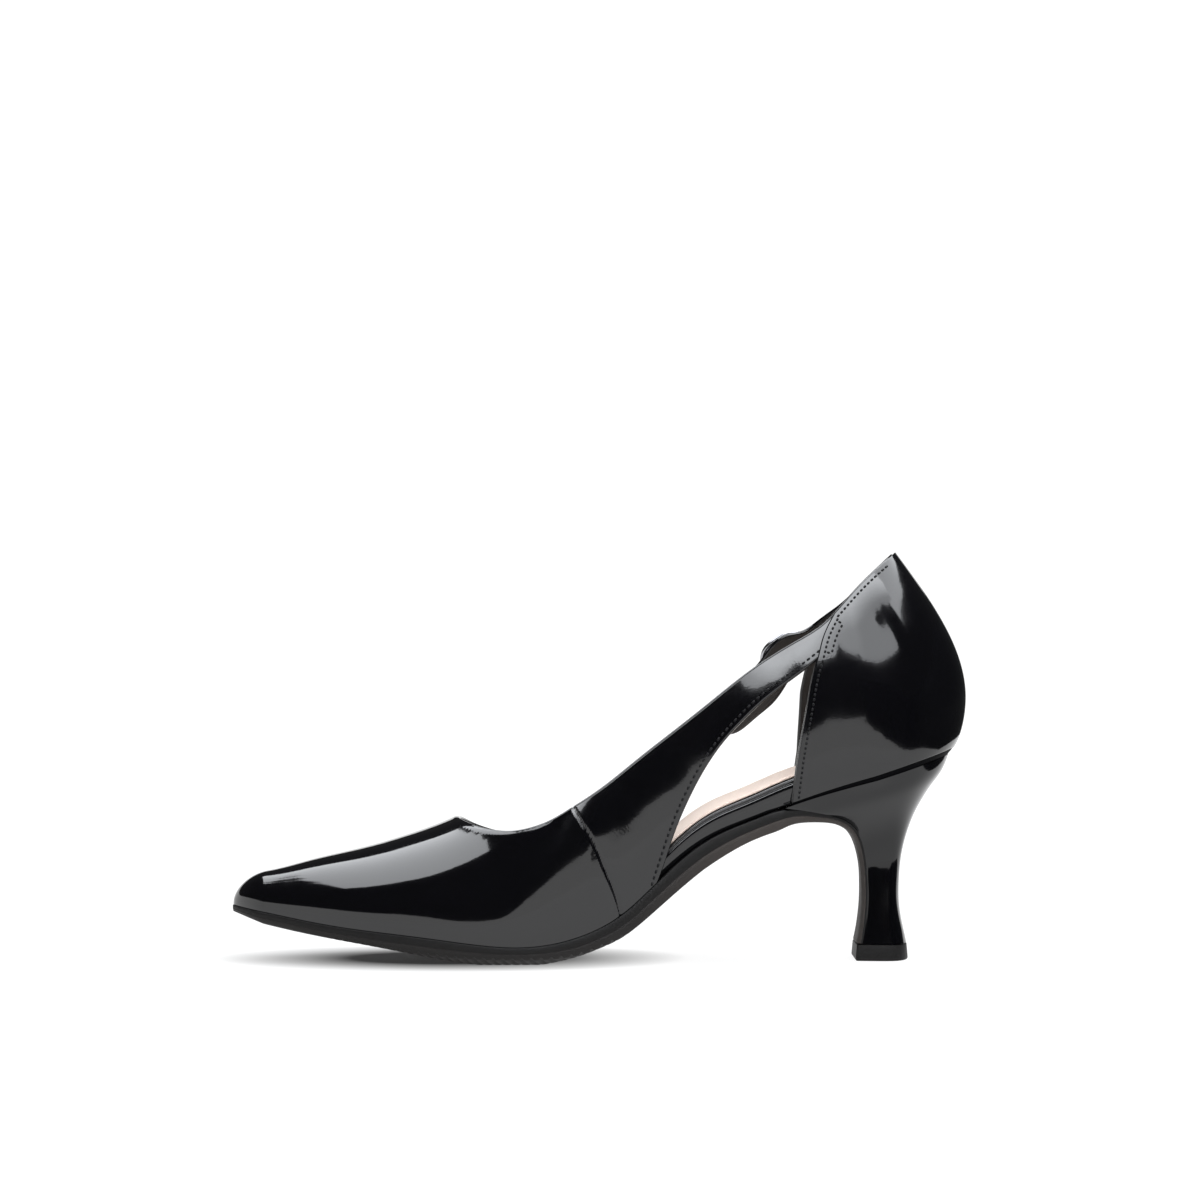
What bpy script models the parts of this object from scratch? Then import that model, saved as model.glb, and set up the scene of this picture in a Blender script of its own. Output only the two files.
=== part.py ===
"""A right-foot court shoe with a pointed toe, a slim flared heel, side windows and a buckled strap.

The frame is in metres with +Z up. The floor is z = 0, the toe points to -X and the inner side of
the foot is towards -Y. Sizes below are millimetres, and MM turns them into metres.
"""

import math
from collections import namedtuple

import bmesh
import bpy
import numpy as np
from mathutils import Vector

MM = 0.001

# Driving dimensions
LENGTH = 243.4
BALL_WIDTH = 76.0
SEAT_HEIGHT = 68.4
WALL = 1.6
GAP = 0.3
COUNTER_THICKNESS = 0.9

# The toe closes over the first part of the length, the heel closes behind its last station
TOE_TIP = -LENGTH / 2
TOE_CAP = 4.5
HEEL_START = 87.0
SEAT_BACK = LENGTH / 2 - 6.6

# Last sections. along: percent of LENGTH from the toe. floor: height of the feather edge.
# half: feather half width, percent of BALL_WIDTH. swing: centre towards the outer side.
# crest: height of the closed top. side, crown: Bezier handles. belly: bulge. lean: X per Z.
LAST_COLUMNS = ("along", "floor", "half", "swing", "crest", "side", "belly", "crown", "lean")
LAST = (
    (0.0, 18.6, 9.9, -4.6, 27.9, 0.46, 0.8, 0.62, 0.0),
    (5.0, 16.9, 17.6, -4.4, 29.7, 0.49, 1.3, 0.63, 0.0),
    (10.0, 14.9, 25.3, -4.0, 32.8, 0.50, 1.7, 0.62, 0.0),
    (15.0, 13.2, 32.4, -3.5, 35.7, 0.50, 2.2, 0.60, 0.0),
    (20.0, 11.9, 38.3, -2.8, 38.7, 0.49, 2.7, 0.59, 0.0),
    (25.0, 10.7, 43.0, -2.1, 42.5, 0.48, 2.9, 0.59, 0.0),
    (30.0, 9.3, 46.7, -1.3, 47.2, 0.47, 3.1, 0.61, 0.0),
    (35.0, 7.9, 48.9, -0.6, 54.6, 0.45, 3.4, 0.63, 0.0),
    (40.0, 7.5, 50.0, 0.0, 65.0, 0.43, 3.5, 0.74, 0.0),
    (45.0, 9.1, 48.7, 0.5, 79.0, 0.41, 3.4, 0.84, 0.0),
    (50.0, 13.3, 45.1, 0.8, 94.0, 0.39, 3.2, 0.86, 0.0),
    (53.0, 17.6, 42.4, 0.9, 102.0, 0.38, 3.0, 0.84, 0.0),
    (56.0, 23.9, 39.7, 1.0, 109.0, 0.37, 2.9, 0.82, 0.0),
    (60.0, 33.0, 36.5, 1.0, 117.5, 0.36, 2.8, 0.80, 0.0),
    (65.0, 41.8, 33.6, 0.9, 126.0, 0.35, 2.8, 0.78, 0.0),
    (70.0, 47.1, 32.1, 0.6, 131.5, 0.34, 2.8, 0.69, 0.0),
    (76.0, 52.7, 31.6, 0.3, 139.0, 0.32, 3.2, 0.68, -0.03),
    (85.0, 59.3, 32.2, 0.0, 148.0, 0.31, 3.6, 0.61, -0.14),
    (90.0, 62.4, 32.2, 0.0, 152.0, 0.29, 3.8, 0.48, -0.20),
)

# Back of the heel: x of the back seam at each height
BACK_COLUMNS = ("z", "x")
BACK = (
    (68.4, 115.0),
    (72.0, 117.4),
    (77.0, 119.4),
    (82.0, 120.4),
    (88.0, 120.7),
    (94.0, 120.0),
    (100.0, 118.4),
    (106.0, 116.0),
    (112.0, 112.9),
    (118.0, 109.3),
    (124.0, 105.2),
    (130.0, 100.9),
    (136.0, 96.4),
    (152.0, 84.0),
)

# Topline from the throat to the back peak, and how far its outer side lies above the inner one
TOPLINE_COLUMNS = ("x", "z")
TOPLINE = (
    (-47.7, 47.6),
    (-41.5, 45.7),
    (-35.5, 44.5),
    (-29.5, 44.2),
    (-23.5, 45.2),
    (-16.5, 47.6),
    (-8.8, 51.7),
    (2.0, 58.7),
    (13.0, 67.3),
    (32.6, 82.5),
    (52.0, 97.6),
    (65.0, 105.7),
    (74.0, 111.6),
    (84.2, 122.4),
    (98.2, 134.7),
)
OUTER_TOPLINE_COLUMNS = ("x", "rise")
OUTER_TOPLINE = (
    (-47.7, -0.1),
    (-44.0, -1.9),
    (-40.0, -3.0),
    (-35.0, -3.9),
    (-30.0, -4.4),
    (-15.0, -4.6),
    (5.0, -4.2),
    (25.0, -3.6),
    (42.0, -3.2),
    (50.0, -3.0),
    (54.4, -1.4),
    (58.5, 1.7),
    (62.8, 2.6),
    (66.0, 1.5),
    (69.0, 0.5),
    (75.0, 0.1),
    (81.6, -2.1),
    (90.0, -2.3),
    (98.2, -0.1),
)

# Window edges: the strap's lower edge runs on down the quarter, the counter's front edge closes it
STRAP_EDGE_COLUMNS = ("x", "z")
STRAP_EDGE = (
    (72.0, 101.4),
    (65.0, 96.0),
    (59.0, 91.6),
    (50.9, 85.0),
    (45.5, 79.7),
    (40.1, 73.8),
    (34.7, 66.3),
    (29.3, 56.6),
    (25.4, 48.0),
    (22.8, 41.0),
    (20.5, 34.0),
    (17.6, 25.0),
    (15.0, 14.0),
)
OUTER_DROP = 6.6
OUTER_DROP_X = 53.0
OUTER_DROP_REACH = 10.5
OUTER_COUNTER_SHIFT = 2.6
OUTER_COUNTER_FADE = 88.0
OUTER_COUNTER_EASE = 20.0
COUNTER_EDGE_COLUMNS = ("z", "x")
COUNTER_EDGE = (
    (40.0, 60.8),
    (52.7, 63.0),
    (67.7, 65.0),
    (79.3, 67.1),
    (87.7, 68.6),
    (95.0, 70.1),
    (101.4, 71.9),
    (107.0, 73.4),
    (113.0, 76.2),
    (121.0, 81.0),
)

# Outsole. rim: height of its lower side edge. keel: height of its bottom at the middle.
SOLE_COLUMNS = ("along", "rim", "keel")
SOLE = (
    (0.0, 15.3, 14.9),
    (5.0, 13.0, 12.2),
    (10.0, 10.8, 9.8),
    (15.0, 8.8, 7.8),
    (20.0, 7.0, 5.8),
    (25.0, 5.2, 3.5),
    (30.0, 3.8, 1.2),
    (34.0, 3.2, 0.0),
    (38.0, 3.0, 0.0),
    (42.0, 3.1, 0.0),
    (45.0, 3.6, 1.4),
    (48.0, 5.0, 3.5),
    (50.0, 6.7, 5.4),
    (53.0, 10.0, 8.8),
    (56.0, 15.3, 14.3),
    (60.0, 23.6, 22.8),
    (65.0, 33.3, 32.6),
    (70.0, 40.6, 39.8),
    (74.0, 44.1, 43.3),
)
SOLE_LIP = 0.5
SOLE_BEVEL = 1.4
SOLE_WALL = 0.5
SOLE_FLAT = 0.5
SOLE_ROLL = 0.75
SOLE_NOSE = 0.6
SOLE_WAIST_START = 64.0
SOLE_WAIST_END = 73.0
SOLE_WAIST_TILT = math.radians(16)
FLAP_RIM = 0.8

# Heel sections, each on the line from its front point to its back point. sole: outsole cover there.
# corner: front width as a share of half. power: roundness of the back.
HeelRow = namedtuple("HeelRow", ("front_x", "front_z", "back_x", "back_z", "half", "corner", "power", "sole"))
HEEL = (
    (60.5, 51.3, 116.2, 66.5, 24.2, 0.98, 2.3, 6.2),
    (66.0, 50.2, 114.6, 64.6, 23.0, 0.98, 2.4, 4.3),
    (72.0, 49.1, 112.9, 61.6, 21.2, 0.97, 2.5, 2.9),
    (78.0, 47.6, 110.2, 58.0, 18.4, 0.96, 2.6, 2.1),
    (82.4, 45.2, 107.6, 54.0, 14.9, 0.95, 2.7, 1.9),
    (85.2, 41.8, 104.9, 49.0, 11.1, 0.94, 2.7, 1.7),
    (86.9, 37.4, 102.4, 42.6, 7.9, 0.93, 2.7, 1.6),
    (88.0, 31.6, 100.4, 34.6, 6.75, 0.92, 2.7, 1.5),
    (88.4, 25.0, 99.6, 26.4, 7.6, 0.92, 2.7, 1.5),
    (88.3, 18.5, 99.6, 18.9, 8.5, 0.92, 2.7, 1.5),
    (87.7, 12.4, 100.5, 12.5, 9.35, 0.92, 2.7, 1.5),
    (87.0, 8.0, 101.5, 8.0, 10.0, 0.92, 2.7, 1.5),
    (86.5, 5.6, 102.0, 5.6, 10.35, 0.92, 2.7, 1.5),
)
HEEL_LIP = 0.9
HEEL_WIDEST = 0.55
HEEL_EDGE = 0.06
HEEL_EDGE_ROUND = 1.0

# Top piece, from its top to the floor. flare: how far it stands out of the heel's foot.
TOP_PIECE_COLUMNS = ("z", "flare")
TOP_PIECE = (
    (5.3, 0.1),
    (0.6, 0.5),
    (0.0, 0.1),
)

# Insole and sock. board: thickness of the footbed board at each place along the foot.
BOARD_COLUMNS = ("along", "board")
BOARD = (
    (0.0, 2.0),
    (30.0, 2.4),
    (45.0, 2.9),
    (53.0, 4.9),
    (58.0, 6.9),
    (64.0, 7.6),
    (70.0, 7.6),
    (76.5, 8.2),
    (82.0, 7.0),
    (90.0, 5.6),
    (100.0, 5.0),
)
BOARD_INSET = 2.3
BOARD_FRONT = TOE_TIP + 9.0
SOCK_INSET = 3.6
SOCK_THICKNESS = 0.9
SOCK_FRONT = TOE_TIP + 35.7
SLAB_NOSE = 9.0
SLAB_EDGE = 0.6

# Buckle on the outer strap
BUCKLE_X = 63.8
BUCKLE_Z = 99.9
BUCKLE_SLOPE = math.radians(36.0)
BUCKLE_LENGTH = 17.0
BUCKLE_HEIGHT = 13.6
BUCKLE_CORNER = 6.3
BUCKLE_WIRE = 0.85
BUCKLE_LIFT = 2.05
PRONG_WIRE = 0.7
PRONG_CLEARANCE = 0.05

# Mesh steps
TOE_STEPS = 6
MID_STEPS = 34
HEEL_STEPS = 8
RING_STEPS = 13
SOLE_STEPS = 38
SLAB_STEPS = 64
HEEL_TURN_STEPS = 12
CORNER_STEPS = 5
TOPLINE_POINTS = 52
STRAP_POINTS = 26
WINDOW_BACK_POINTS = 14
COUNTER_POINTS = 20
SEAT_POINTS = 16
SEARCH_POINTS = 400
SEARCH_STEP = 0.01

COLOURS = {
    "patent": ((0.004, 0.004, 0.006), 0.06, 0.0),
    "rubber": ((0.03, 0.028, 0.028), 0.55, 0.0),
    "suede": ((0.80, 0.66, 0.56), 0.9, 0.0),
    "steel": ((0.45, 0.45, 0.47), 0.2, 1.0),
}


def smooth_curve(xs, ys):
    """A natural cubic spline through the points, as a function of x."""
    xs = np.array(xs, float)
    ys = np.array(ys, float)
    steps = np.diff(xs)
    count = len(xs)
    system = np.eye(count)
    bends = np.zeros(count)
    for i in range(1, count - 1):
        system[i, i - 1 : i + 2] = steps[i - 1], 2 * (steps[i - 1] + steps[i]), steps[i]
        bends[i] = 6 * ((ys[i + 1] - ys[i]) / steps[i] - (ys[i] - ys[i - 1]) / steps[i - 1])
    second = np.linalg.solve(system, bends)

    def at(x):
        i = np.clip(np.searchsorted(xs, x) - 1, 0, count - 2)
        step = xs[i + 1] - xs[i]
        left = (xs[i + 1] - x) / step
        right = (x - xs[i]) / step
        bend = (left**3 - left) * second[i] + (right**3 - right) * second[i + 1]
        return left * ys[i] + right * ys[i + 1] + bend * step * step / 6

    return at


def table_curves(columns, rows):
    """One smooth curve for each later column, as a function of the first column."""
    values = np.array(rows, float).T
    return {name: smooth_curve(values[0], column) for name, column in zip(columns[1:], values[1:])}


last = table_curves(LAST_COLUMNS, LAST)
back_x = table_curves(BACK_COLUMNS, BACK)["x"]
topline_z = table_curves(TOPLINE_COLUMNS, TOPLINE)["z"]
outer_rise = table_curves(OUTER_TOPLINE_COLUMNS, OUTER_TOPLINE)["rise"]
strap_edge_z = table_curves(STRAP_EDGE_COLUMNS, STRAP_EDGE[::-1])["z"]
counter_edge_x = table_curves(COUNTER_EDGE_COLUMNS, COUNTER_EDGE)["x"]
sole = table_curves(SOLE_COLUMNS, SOLE)
board = table_curves(BOARD_COLUMNS, BOARD)["board"]
heel_rows = [HeelRow(*row) for row in HEEL]


def along_of(x):
    return (x - TOE_TIP) / LENGTH * 100


def x_of(along):
    return TOE_TIP + LENGTH * along / 100


def half_width(along):
    return last["half"](along) * BALL_WIDTH / 100


def seat_floor(x):
    """Height of the feather edge at x, on to the back of the seat."""
    start = x_of(HEEL_START)
    if x <= start:
        return float(last["floor"](along_of(x)))
    part = min(1.0, (x - start) / (SEAT_BACK - start))
    return float(last["floor"](HEEL_START) * (1 - part) + SEAT_HEIGHT * part)


def plan_half(x, inset):
    """Half width of the feather outline at x, drawn in by inset, closed at toe and heel."""
    cap = LENGTH * TOE_CAP / 100
    nose = max(0.0, (x - TOE_TIP - inset) / cap)
    heel = max(0.0, (x - x_of(HEEL_START)) / (SEAT_BACK - inset - x_of(HEEL_START)))
    closing = math.sqrt(max(0.0, 1 - max(0.0, 1 - nose) ** 2))
    closing *= math.sqrt(max(0.0, 1 - min(1.0, heel) ** 2))
    return max(0.0, half_width(min(along_of(x), HEEL_START)) - inset) * closing


def swing_at(x):
    return float(last["swing"](min(along_of(x), HEEL_START)))


def section(along, t, closing=1.0):
    """Distance from the centre line and height of the last at one place, t from feather to crest."""
    half = half_width(along) * closing
    belly = last["belly"](along) * closing
    floor = last["floor"](along)
    rise = (last["crest"](along) - floor) * closing
    start, first = (1 - t) ** 3, 3 * t * (1 - t) ** 2
    second, end = 3 * (1 - t) * t**2, t**3
    out = start * half + first * (half + belly) + second * last["crown"](along) * half
    up = first * last["side"](along) * rise + (second + end) * rise
    return out, floor + up


def last_point(u, t, side):
    """A point of the last: u runs from toe (0 to 1), on to the closing heel (1 to 2, 2 to 3)."""
    if u <= 1:
        angle = u * math.pi / 2
        along = TOE_CAP * (1 - math.cos(angle))
        out, z = section(along, t, math.sin(angle))
        return x_of(along), last["swing"](along) + side * out, z
    if u <= 2:
        along = TOE_CAP + (HEEL_START - TOE_CAP) * (u - 1)
        out, z = section(along, t)
        x = x_of(along) + last["lean"](along) * (z - last["floor"](along))
        return x, last["swing"](along) + side * out, z
    angle = (u - 2) * math.pi / 2
    out, z = section(HEEL_START, t)
    floor = last["floor"](HEEL_START)
    crest = last["crest"](HEEL_START)
    x = x_of(HEEL_START) + last["lean"](HEEL_START) * (z - floor)
    z_back = SEAT_HEIGHT + (z - floor) * (BACK[-1][0] - SEAT_HEIGHT) / (crest - floor)
    reach = math.sin(angle)
    x += (back_x(z_back) - x) * reach
    return x, last["swing"](HEEL_START) + side * out * math.cos(angle), z + (z_back - z) * reach


def last_rings():
    """Rings of the last from inner feather over the crest to outer feather, toe to heel."""
    us = [i / TOE_STEPS for i in range(TOE_STEPS)]
    us += [1 + i / MID_STEPS for i in range(MID_STEPS)]
    us += [2 + i / HEEL_STEPS for i in range(HEEL_STEPS + 1)]
    ts = [i / RING_STEPS for i in range(RING_STEPS + 1)]
    for u in us:
        inner = [last_point(u, t, -1) for t in ts]
        outer = [last_point(u, t, 1) for t in ts[-2::-1]]
        yield inner + outer


# Mesh helpers


def principled(name):
    colour, roughness, metallic = COLOURS[name]
    found = bpy.data.materials.get(name)
    if found:
        return found
    material = bpy.data.materials.new(name)
    material.use_nodes = True
    shader = material.node_tree.nodes["Principled BSDF"]
    shader.inputs["Base Color"].default_value = (*colour, 1)
    shader.inputs["Roughness"].default_value = roughness
    shader.inputs["Metallic"].default_value = metallic
    material.diffuse_color = (*colour, 1)
    return material


def add_object(name, bm, collection, material=None):
    """A named object from a bmesh in millimetres."""
    bmesh.ops.scale(bm, vec=(MM, MM, MM), verts=bm.verts)
    mesh = bpy.data.meshes.new(name)
    bm.to_mesh(mesh)
    bm.free()
    obj = bpy.data.objects.new(name, mesh)
    collection.objects.link(obj)
    if material:
        mesh.materials.append(principled(material))
        mesh.shade_smooth()
        mesh.set_sharp_from_angle(angle=math.radians(40))
    return obj


def cap(bm, row):
    """Close a loop with strips across it, between its first half and its second half."""
    low, high = 0, len(row) - 1
    while high - low > 2:
        bm.faces.new((row[low], row[low + 1], row[high - 1], row[high]))
        low += 1
        high -= 1
    if high - low == 2:
        bm.faces.new(row[low : high + 1])


def loft(loops, closed=True, capped=True):
    """A surface through loops of equal count. Points that fall together are welded."""
    bm = bmesh.new()
    rows = [[bm.verts.new(point) for point in loop] for loop in loops]
    count = len(rows[0])
    for near, far in zip(rows, rows[1:]):
        for i in range(count if closed else count - 1):
            j = (i + 1) % count
            bm.faces.new((near[i], near[j], far[j], far[i]))
    if capped:
        cap(bm, rows[0][::-1])
        cap(bm, rows[-1])
    bmesh.ops.remove_doubles(bm, verts=bm.verts, dist=0.02)
    bmesh.ops.dissolve_degenerate(bm, edges=bm.edges, dist=0.001)
    bmesh.ops.recalc_face_normals(bm, faces=bm.faces)
    if capped:
        inside_out = bm.calc_volume(signed=True) < 0
    else:
        inside_out = max(bm.faces, key=lambda face: face.calc_center_median().z).normal.z < 0
    if inside_out:
        bmesh.ops.reverse_faces(bm, faces=bm.faces)
    return bm


def prism(name, outline, y_low, y_high, collection):
    """A cutter: an outline in the side view, carried across the shoe from y_low to y_high."""
    bm = bmesh.new()
    face = bm.faces.new([bm.verts.new((x, y_low, z)) for x, z in outline])
    swept = bmesh.ops.extrude_face_region(bm, geom=[face])
    verts = [item for item in swept["geom"] if isinstance(item, bmesh.types.BMVert)]
    bmesh.ops.translate(bm, vec=(0, y_high - y_low, 0), verts=verts)
    bmesh.ops.recalc_face_normals(bm, faces=bm.faces)
    cutter = add_object(name, bm, collection)
    cutter.hide_render = True
    cutter.display_type = "WIRE"
    return cutter


def cut(obj, cutter):
    modifier = obj.modifiers.new(cutter.name, "BOOLEAN")
    modifier.operation = "DIFFERENCE"
    modifier.object = cutter


# Outlines of the cutters

SKY = 190.0
BELOW = -20.0
BEYOND = 150.0
ACROSS = 70.0
CUTTER_OVERLAP = 0.5
THROAT_BACK = 12.0
COUNTER_LEAN = 8.0
SEAT_CUT_START = 40.0


def strap_drop(x):
    """How much lower the outer strap's edge lies at x, where the strap end hangs at the buckle."""
    return OUTER_DROP * math.exp(-(((x - OUTER_DROP_X) / OUTER_DROP_REACH) ** 4))


def counter_front(z, outer):
    """Front edge of the counter at a height. It is more upright on the outer side."""
    fade = min(1.0, max(0.0, (OUTER_COUNTER_FADE - z) / OUTER_COUNTER_EASE))
    return float(counter_edge_x(z)) + (OUTER_COUNTER_SHIFT * fade if outer else 0.0)


def topline_outline(outer):
    xs = np.linspace(TOPLINE[0][0], TOPLINE[-1][0], TOPLINE_POINTS)
    points = [(x, topline_z(x) + (outer_rise(x) if outer else 0.0)) for x in xs]
    slope = (topline_z(xs[-1]) - topline_z(xs[-2])) / (xs[-1] - xs[-2])
    points.append((BEYOND, points[-1][1] + slope * (BEYOND - xs[-1])))
    front = xs[0] - THROAT_BACK
    return points + [(BEYOND, SKY), (front, SKY), (front, SKY / 2)]


def window_outline(outer):
    xs = np.linspace(STRAP_EDGE[-1][0], STRAP_EDGE[0][0], STRAP_POINTS)
    strap = [(x, strap_edge_z(x) - (strap_drop(x) if outer else 0.0)) for x in xs]
    zs = np.linspace(STRAP_EDGE[0][1], COUNTER_EDGE[0][0], WINDOW_BACK_POINTS)[1:]
    counter = [(counter_front(z, outer), z) for z in zs]
    return strap + counter


def counter_front_outline(outer):
    zs = np.linspace(COUNTER_EDGE[0][0], COUNTER_EDGE[-1][0], COUNTER_POINTS)
    edge = [(counter_front(z, outer), z) for z in zs]
    return edge + [(edge[-1][0] + COUNTER_LEAN, SKY), (-BEYOND, SKY), (-BEYOND, BELOW), (edge[0][0], BELOW)]


def seat_outline():
    xs = np.linspace(SEAT_CUT_START, SEAT_BACK, SEAT_POINTS)
    floor = [(x, seat_floor(x)) for x in xs]
    return floor + [(BEYOND, floor[-1][1]), (BEYOND, BELOW), (xs[0], BELOW)]


# Pieces


def solidify(obj, thickness, outward):
    modifier = obj.modifiers.new("wall", "SOLIDIFY")
    modifier.thickness = thickness * MM
    modifier.offset = 1 if outward else -1
    modifier.use_even_offset = True


def make_upper(parts, cutters):
    upper = add_object("upper", loft(last_rings(), closed=False, capped=False), parts, "patent")
    solidify(upper, WALL, outward=False)
    for cutter in cutters:
        cut(upper, cutter)
    return upper


def make_counter(parts, cutters):
    counter = add_object("counter", loft(last_rings(), closed=False, capped=False), parts, "patent")
    away = counter.modifiers.new("clear of the upper", "DISPLACE")
    away.strength = GAP * MM
    away.mid_level = 0
    solidify(counter, COUNTER_THICKNESS, outward=True)
    for cutter in cutters:
        cut(counter, cutter)
    return counter


def sole_section(top, down, half, swing, rim, keel):
    """A section of the outsole: top point, direction to its bottom, and depths to rim and keel."""
    flat = half * SOLE_FLAT
    spread = (
        (half, 0.0),
        (half, rim * SOLE_WALL),
        (half - SOLE_BEVEL, rim),
        ((half - SOLE_BEVEL + flat) / 2, rim + (keel - rim) * SOLE_ROLL),
        (flat, keel),
    )
    outer = [(swing + y, depth) for y, depth in spread]
    inner = [(swing - y, depth) for y, depth in spread[::-1]]
    return [(top[0] + down[0] * depth, y, top[1] + down[1] * depth) for y, depth in outer + inner]


def heel_front_direction(row):
    """Unit direction, in the side view, away from the heel's front at a row."""
    before = heel_rows[max(row - 1, 0)]
    after = heel_rows[min(row + 1, len(heel_rows) - 1)]
    run = np.array((after.front_x - before.front_x, after.front_z - before.front_z))
    away = np.array((run[1], -run[0]))
    return away / np.linalg.norm(away)


def outsole_loops():
    stations = [TOE_CAP * (1 - math.cos(i / TOE_STEPS * math.pi / 2)) for i in range(1, TOE_STEPS)]
    stations += list(np.linspace(TOE_CAP, SOLE_WAIST_END, SOLE_STEPS))
    for along in stations:
        x = x_of(along)
        top = seat_floor(x) - GAP
        half = plan_half(x, -SOLE_LIP)
        nose = SOLE_NOSE + (1 - SOLE_NOSE) * min(1.0, along / TOE_CAP)
        rim = (top - float(sole["rim"](along))) * nose
        keel = (top - max(0.0, float(sole["keel"](along)))) * nose
        waist = (along - SOLE_WAIST_START) / (SOLE_WAIST_END - SOLE_WAIST_START)
        tilt = SOLE_WAIST_TILT * max(0.0, waist)
        down = (math.sin(tilt), -math.cos(tilt))
        scale = math.cos(tilt)
        yield sole_section((x, top), down, half, swing_at(x), rim * scale, keel * scale)
    for i, row in enumerate(heel_rows[1:], 1):
        away = heel_front_direction(i)
        top = (row.front_x + away[0] * GAP, row.front_z + away[1] * GAP)
        yield sole_section(top, away, row.half * row.corner, 0.0, row.sole * FLAP_RIM, row.sole)


def make_outsole(parts):
    return add_object("outsole", loft(outsole_loops()), parts, "rubber")


def heel_section(front, back, half, corner, power):
    """A section with a flat front and a round back, on the line from front to back."""
    loop = [(0.0, half * corner - HEEL_EDGE_ROUND)]
    for i in range(HEEL_TURN_STEPS + 1):
        c = HEEL_EDGE + (1 - HEEL_EDGE) * math.sin(i / HEEL_TURN_STEPS * math.pi / 2)
        swell = corner + (1 - corner) * math.sin(min(1.0, c / HEEL_WIDEST) * math.pi / 2)
        rear = max(0.0, (c - HEEL_WIDEST) / (1 - HEEL_WIDEST))
        loop.append((c, half * swell * math.sqrt(1 - rear**power)))
    outer = loop
    inner = [(c, -width) for c, width in loop[-2::-1]]
    span = (back[0] - front[0], back[1] - front[1])
    return [(front[0] + span[0] * c, y, front[1] + span[1] * c) for c, y in outer + inner]


def make_heel(parts):
    loops = []
    for row in heel_rows:
        front = (row.front_x, row.front_z)
        back = (row.back_x, row.back_z)
        loops.append(heel_section(front, back, row.half, row.corner, row.power))
    seat = [(x, math.copysign(plan_half(x, -HEEL_LIP), y), seat_floor(x) - GAP) for x, y, z in loops[0]]
    return add_object("heel", loft([seat] + loops[1:]), parts, "patent")


def make_top_piece(parts):
    foot = heel_rows[-1]
    loops = []
    for z, flare in TOP_PIECE:
        front = (foot.front_x - foot.sole - flare, z)
        back = (foot.back_x + flare, z)
        loops.append(heel_section(front, back, foot.half + flare, foot.corner, foot.power))
    return add_object("top_piece", loft(loops), parts, "rubber")


def slab_loops(front, inset, low, high):
    """Sections of a flat pad that fills the feather outline, from its front to the back of the seat."""
    rear = SEAT_BACK - inset
    for i in range(1, SLAB_STEPS):
        part = 0.5 - 0.5 * math.cos(i / SLAB_STEPS * math.pi)
        x = front + (rear - front) * part
        nose = min(1.0, (x - front) / SLAB_NOSE)
        half = plan_half(x, inset) * math.sqrt(1 - (1 - nose) ** 2)
        bottom, top = seat_floor(x) + low(x), seat_floor(x) + high(x)
        y = swing_at(x)
        edge = min(SLAB_EDGE, half / 3)
        yield [
            (x, y + half, bottom),
            (x, y + half, top - edge),
            (x, y + half - edge, top),
            (x, y - half + edge, top),
            (x, y - half, top - edge),
            (x, y - half, bottom),
        ]


def board_top(x):
    return float(board(along_of(x)))


def make_insole(parts):
    loops = slab_loops(BOARD_FRONT, BOARD_INSET, lambda x: 0.0, board_top)
    return add_object("insole", loft(loops), parts, "patent")


def make_sock(parts):
    def low(x):
        return board_top(x) + GAP

    def high(x):
        return low(x) + SOCK_THICKNESS

    loops = slab_loops(SOCK_FRONT, SOCK_INSET, low, high)
    return add_object("sock", loft(loops), parts, "suede")


def strap_frame():
    """Place on the outer strap's face at the buckle: along the strap, across it, and out of it."""
    u = min(np.linspace(1, 2, SEARCH_POINTS), key=lambda u: abs(last_point(u, 0.5, 1)[0] - BUCKLE_X))
    t = min(np.linspace(0, 1, SEARCH_POINTS), key=lambda t: abs(last_point(u, t, 1)[2] - BUCKLE_Z))
    step = SEARCH_STEP
    here = Vector(last_point(u, t, 1))
    lengthwise = Vector(last_point(u + step, t, 1)) - here
    upward = Vector(last_point(u, t + step, 1)) - here
    out = upward.cross(lengthwise).normalized()
    if out.y < 0:
        out.negate()
    direction = Vector((math.cos(BUCKLE_SLOPE), 0, math.sin(BUCKLE_SLOPE)))
    direction = (direction - direction.dot(out) * out).normalized()
    across = out.cross(direction)
    if across.z < 0:
        across.negate()
    return here, direction, across, out


def tube(name, points, radius, cyclic, parts):
    """A wire through the points, as a curve with a round bevel."""
    curve = bpy.data.curves.new(name, "CURVE")
    curve.dimensions = "3D"
    curve.bevel_depth = radius * MM
    curve.bevel_resolution = 2
    curve.use_fill_caps = True
    line = curve.splines.new("POLY")
    line.points.add(len(points) - 1)
    for place, point in zip(line.points, points):
        place.co = (*(point * MM), 1)
    line.use_cyclic_u = cyclic
    curve.materials.append(principled("steel"))
    obj = bpy.data.objects.new(name, curve)
    parts.objects.link(obj)
    return obj


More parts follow.
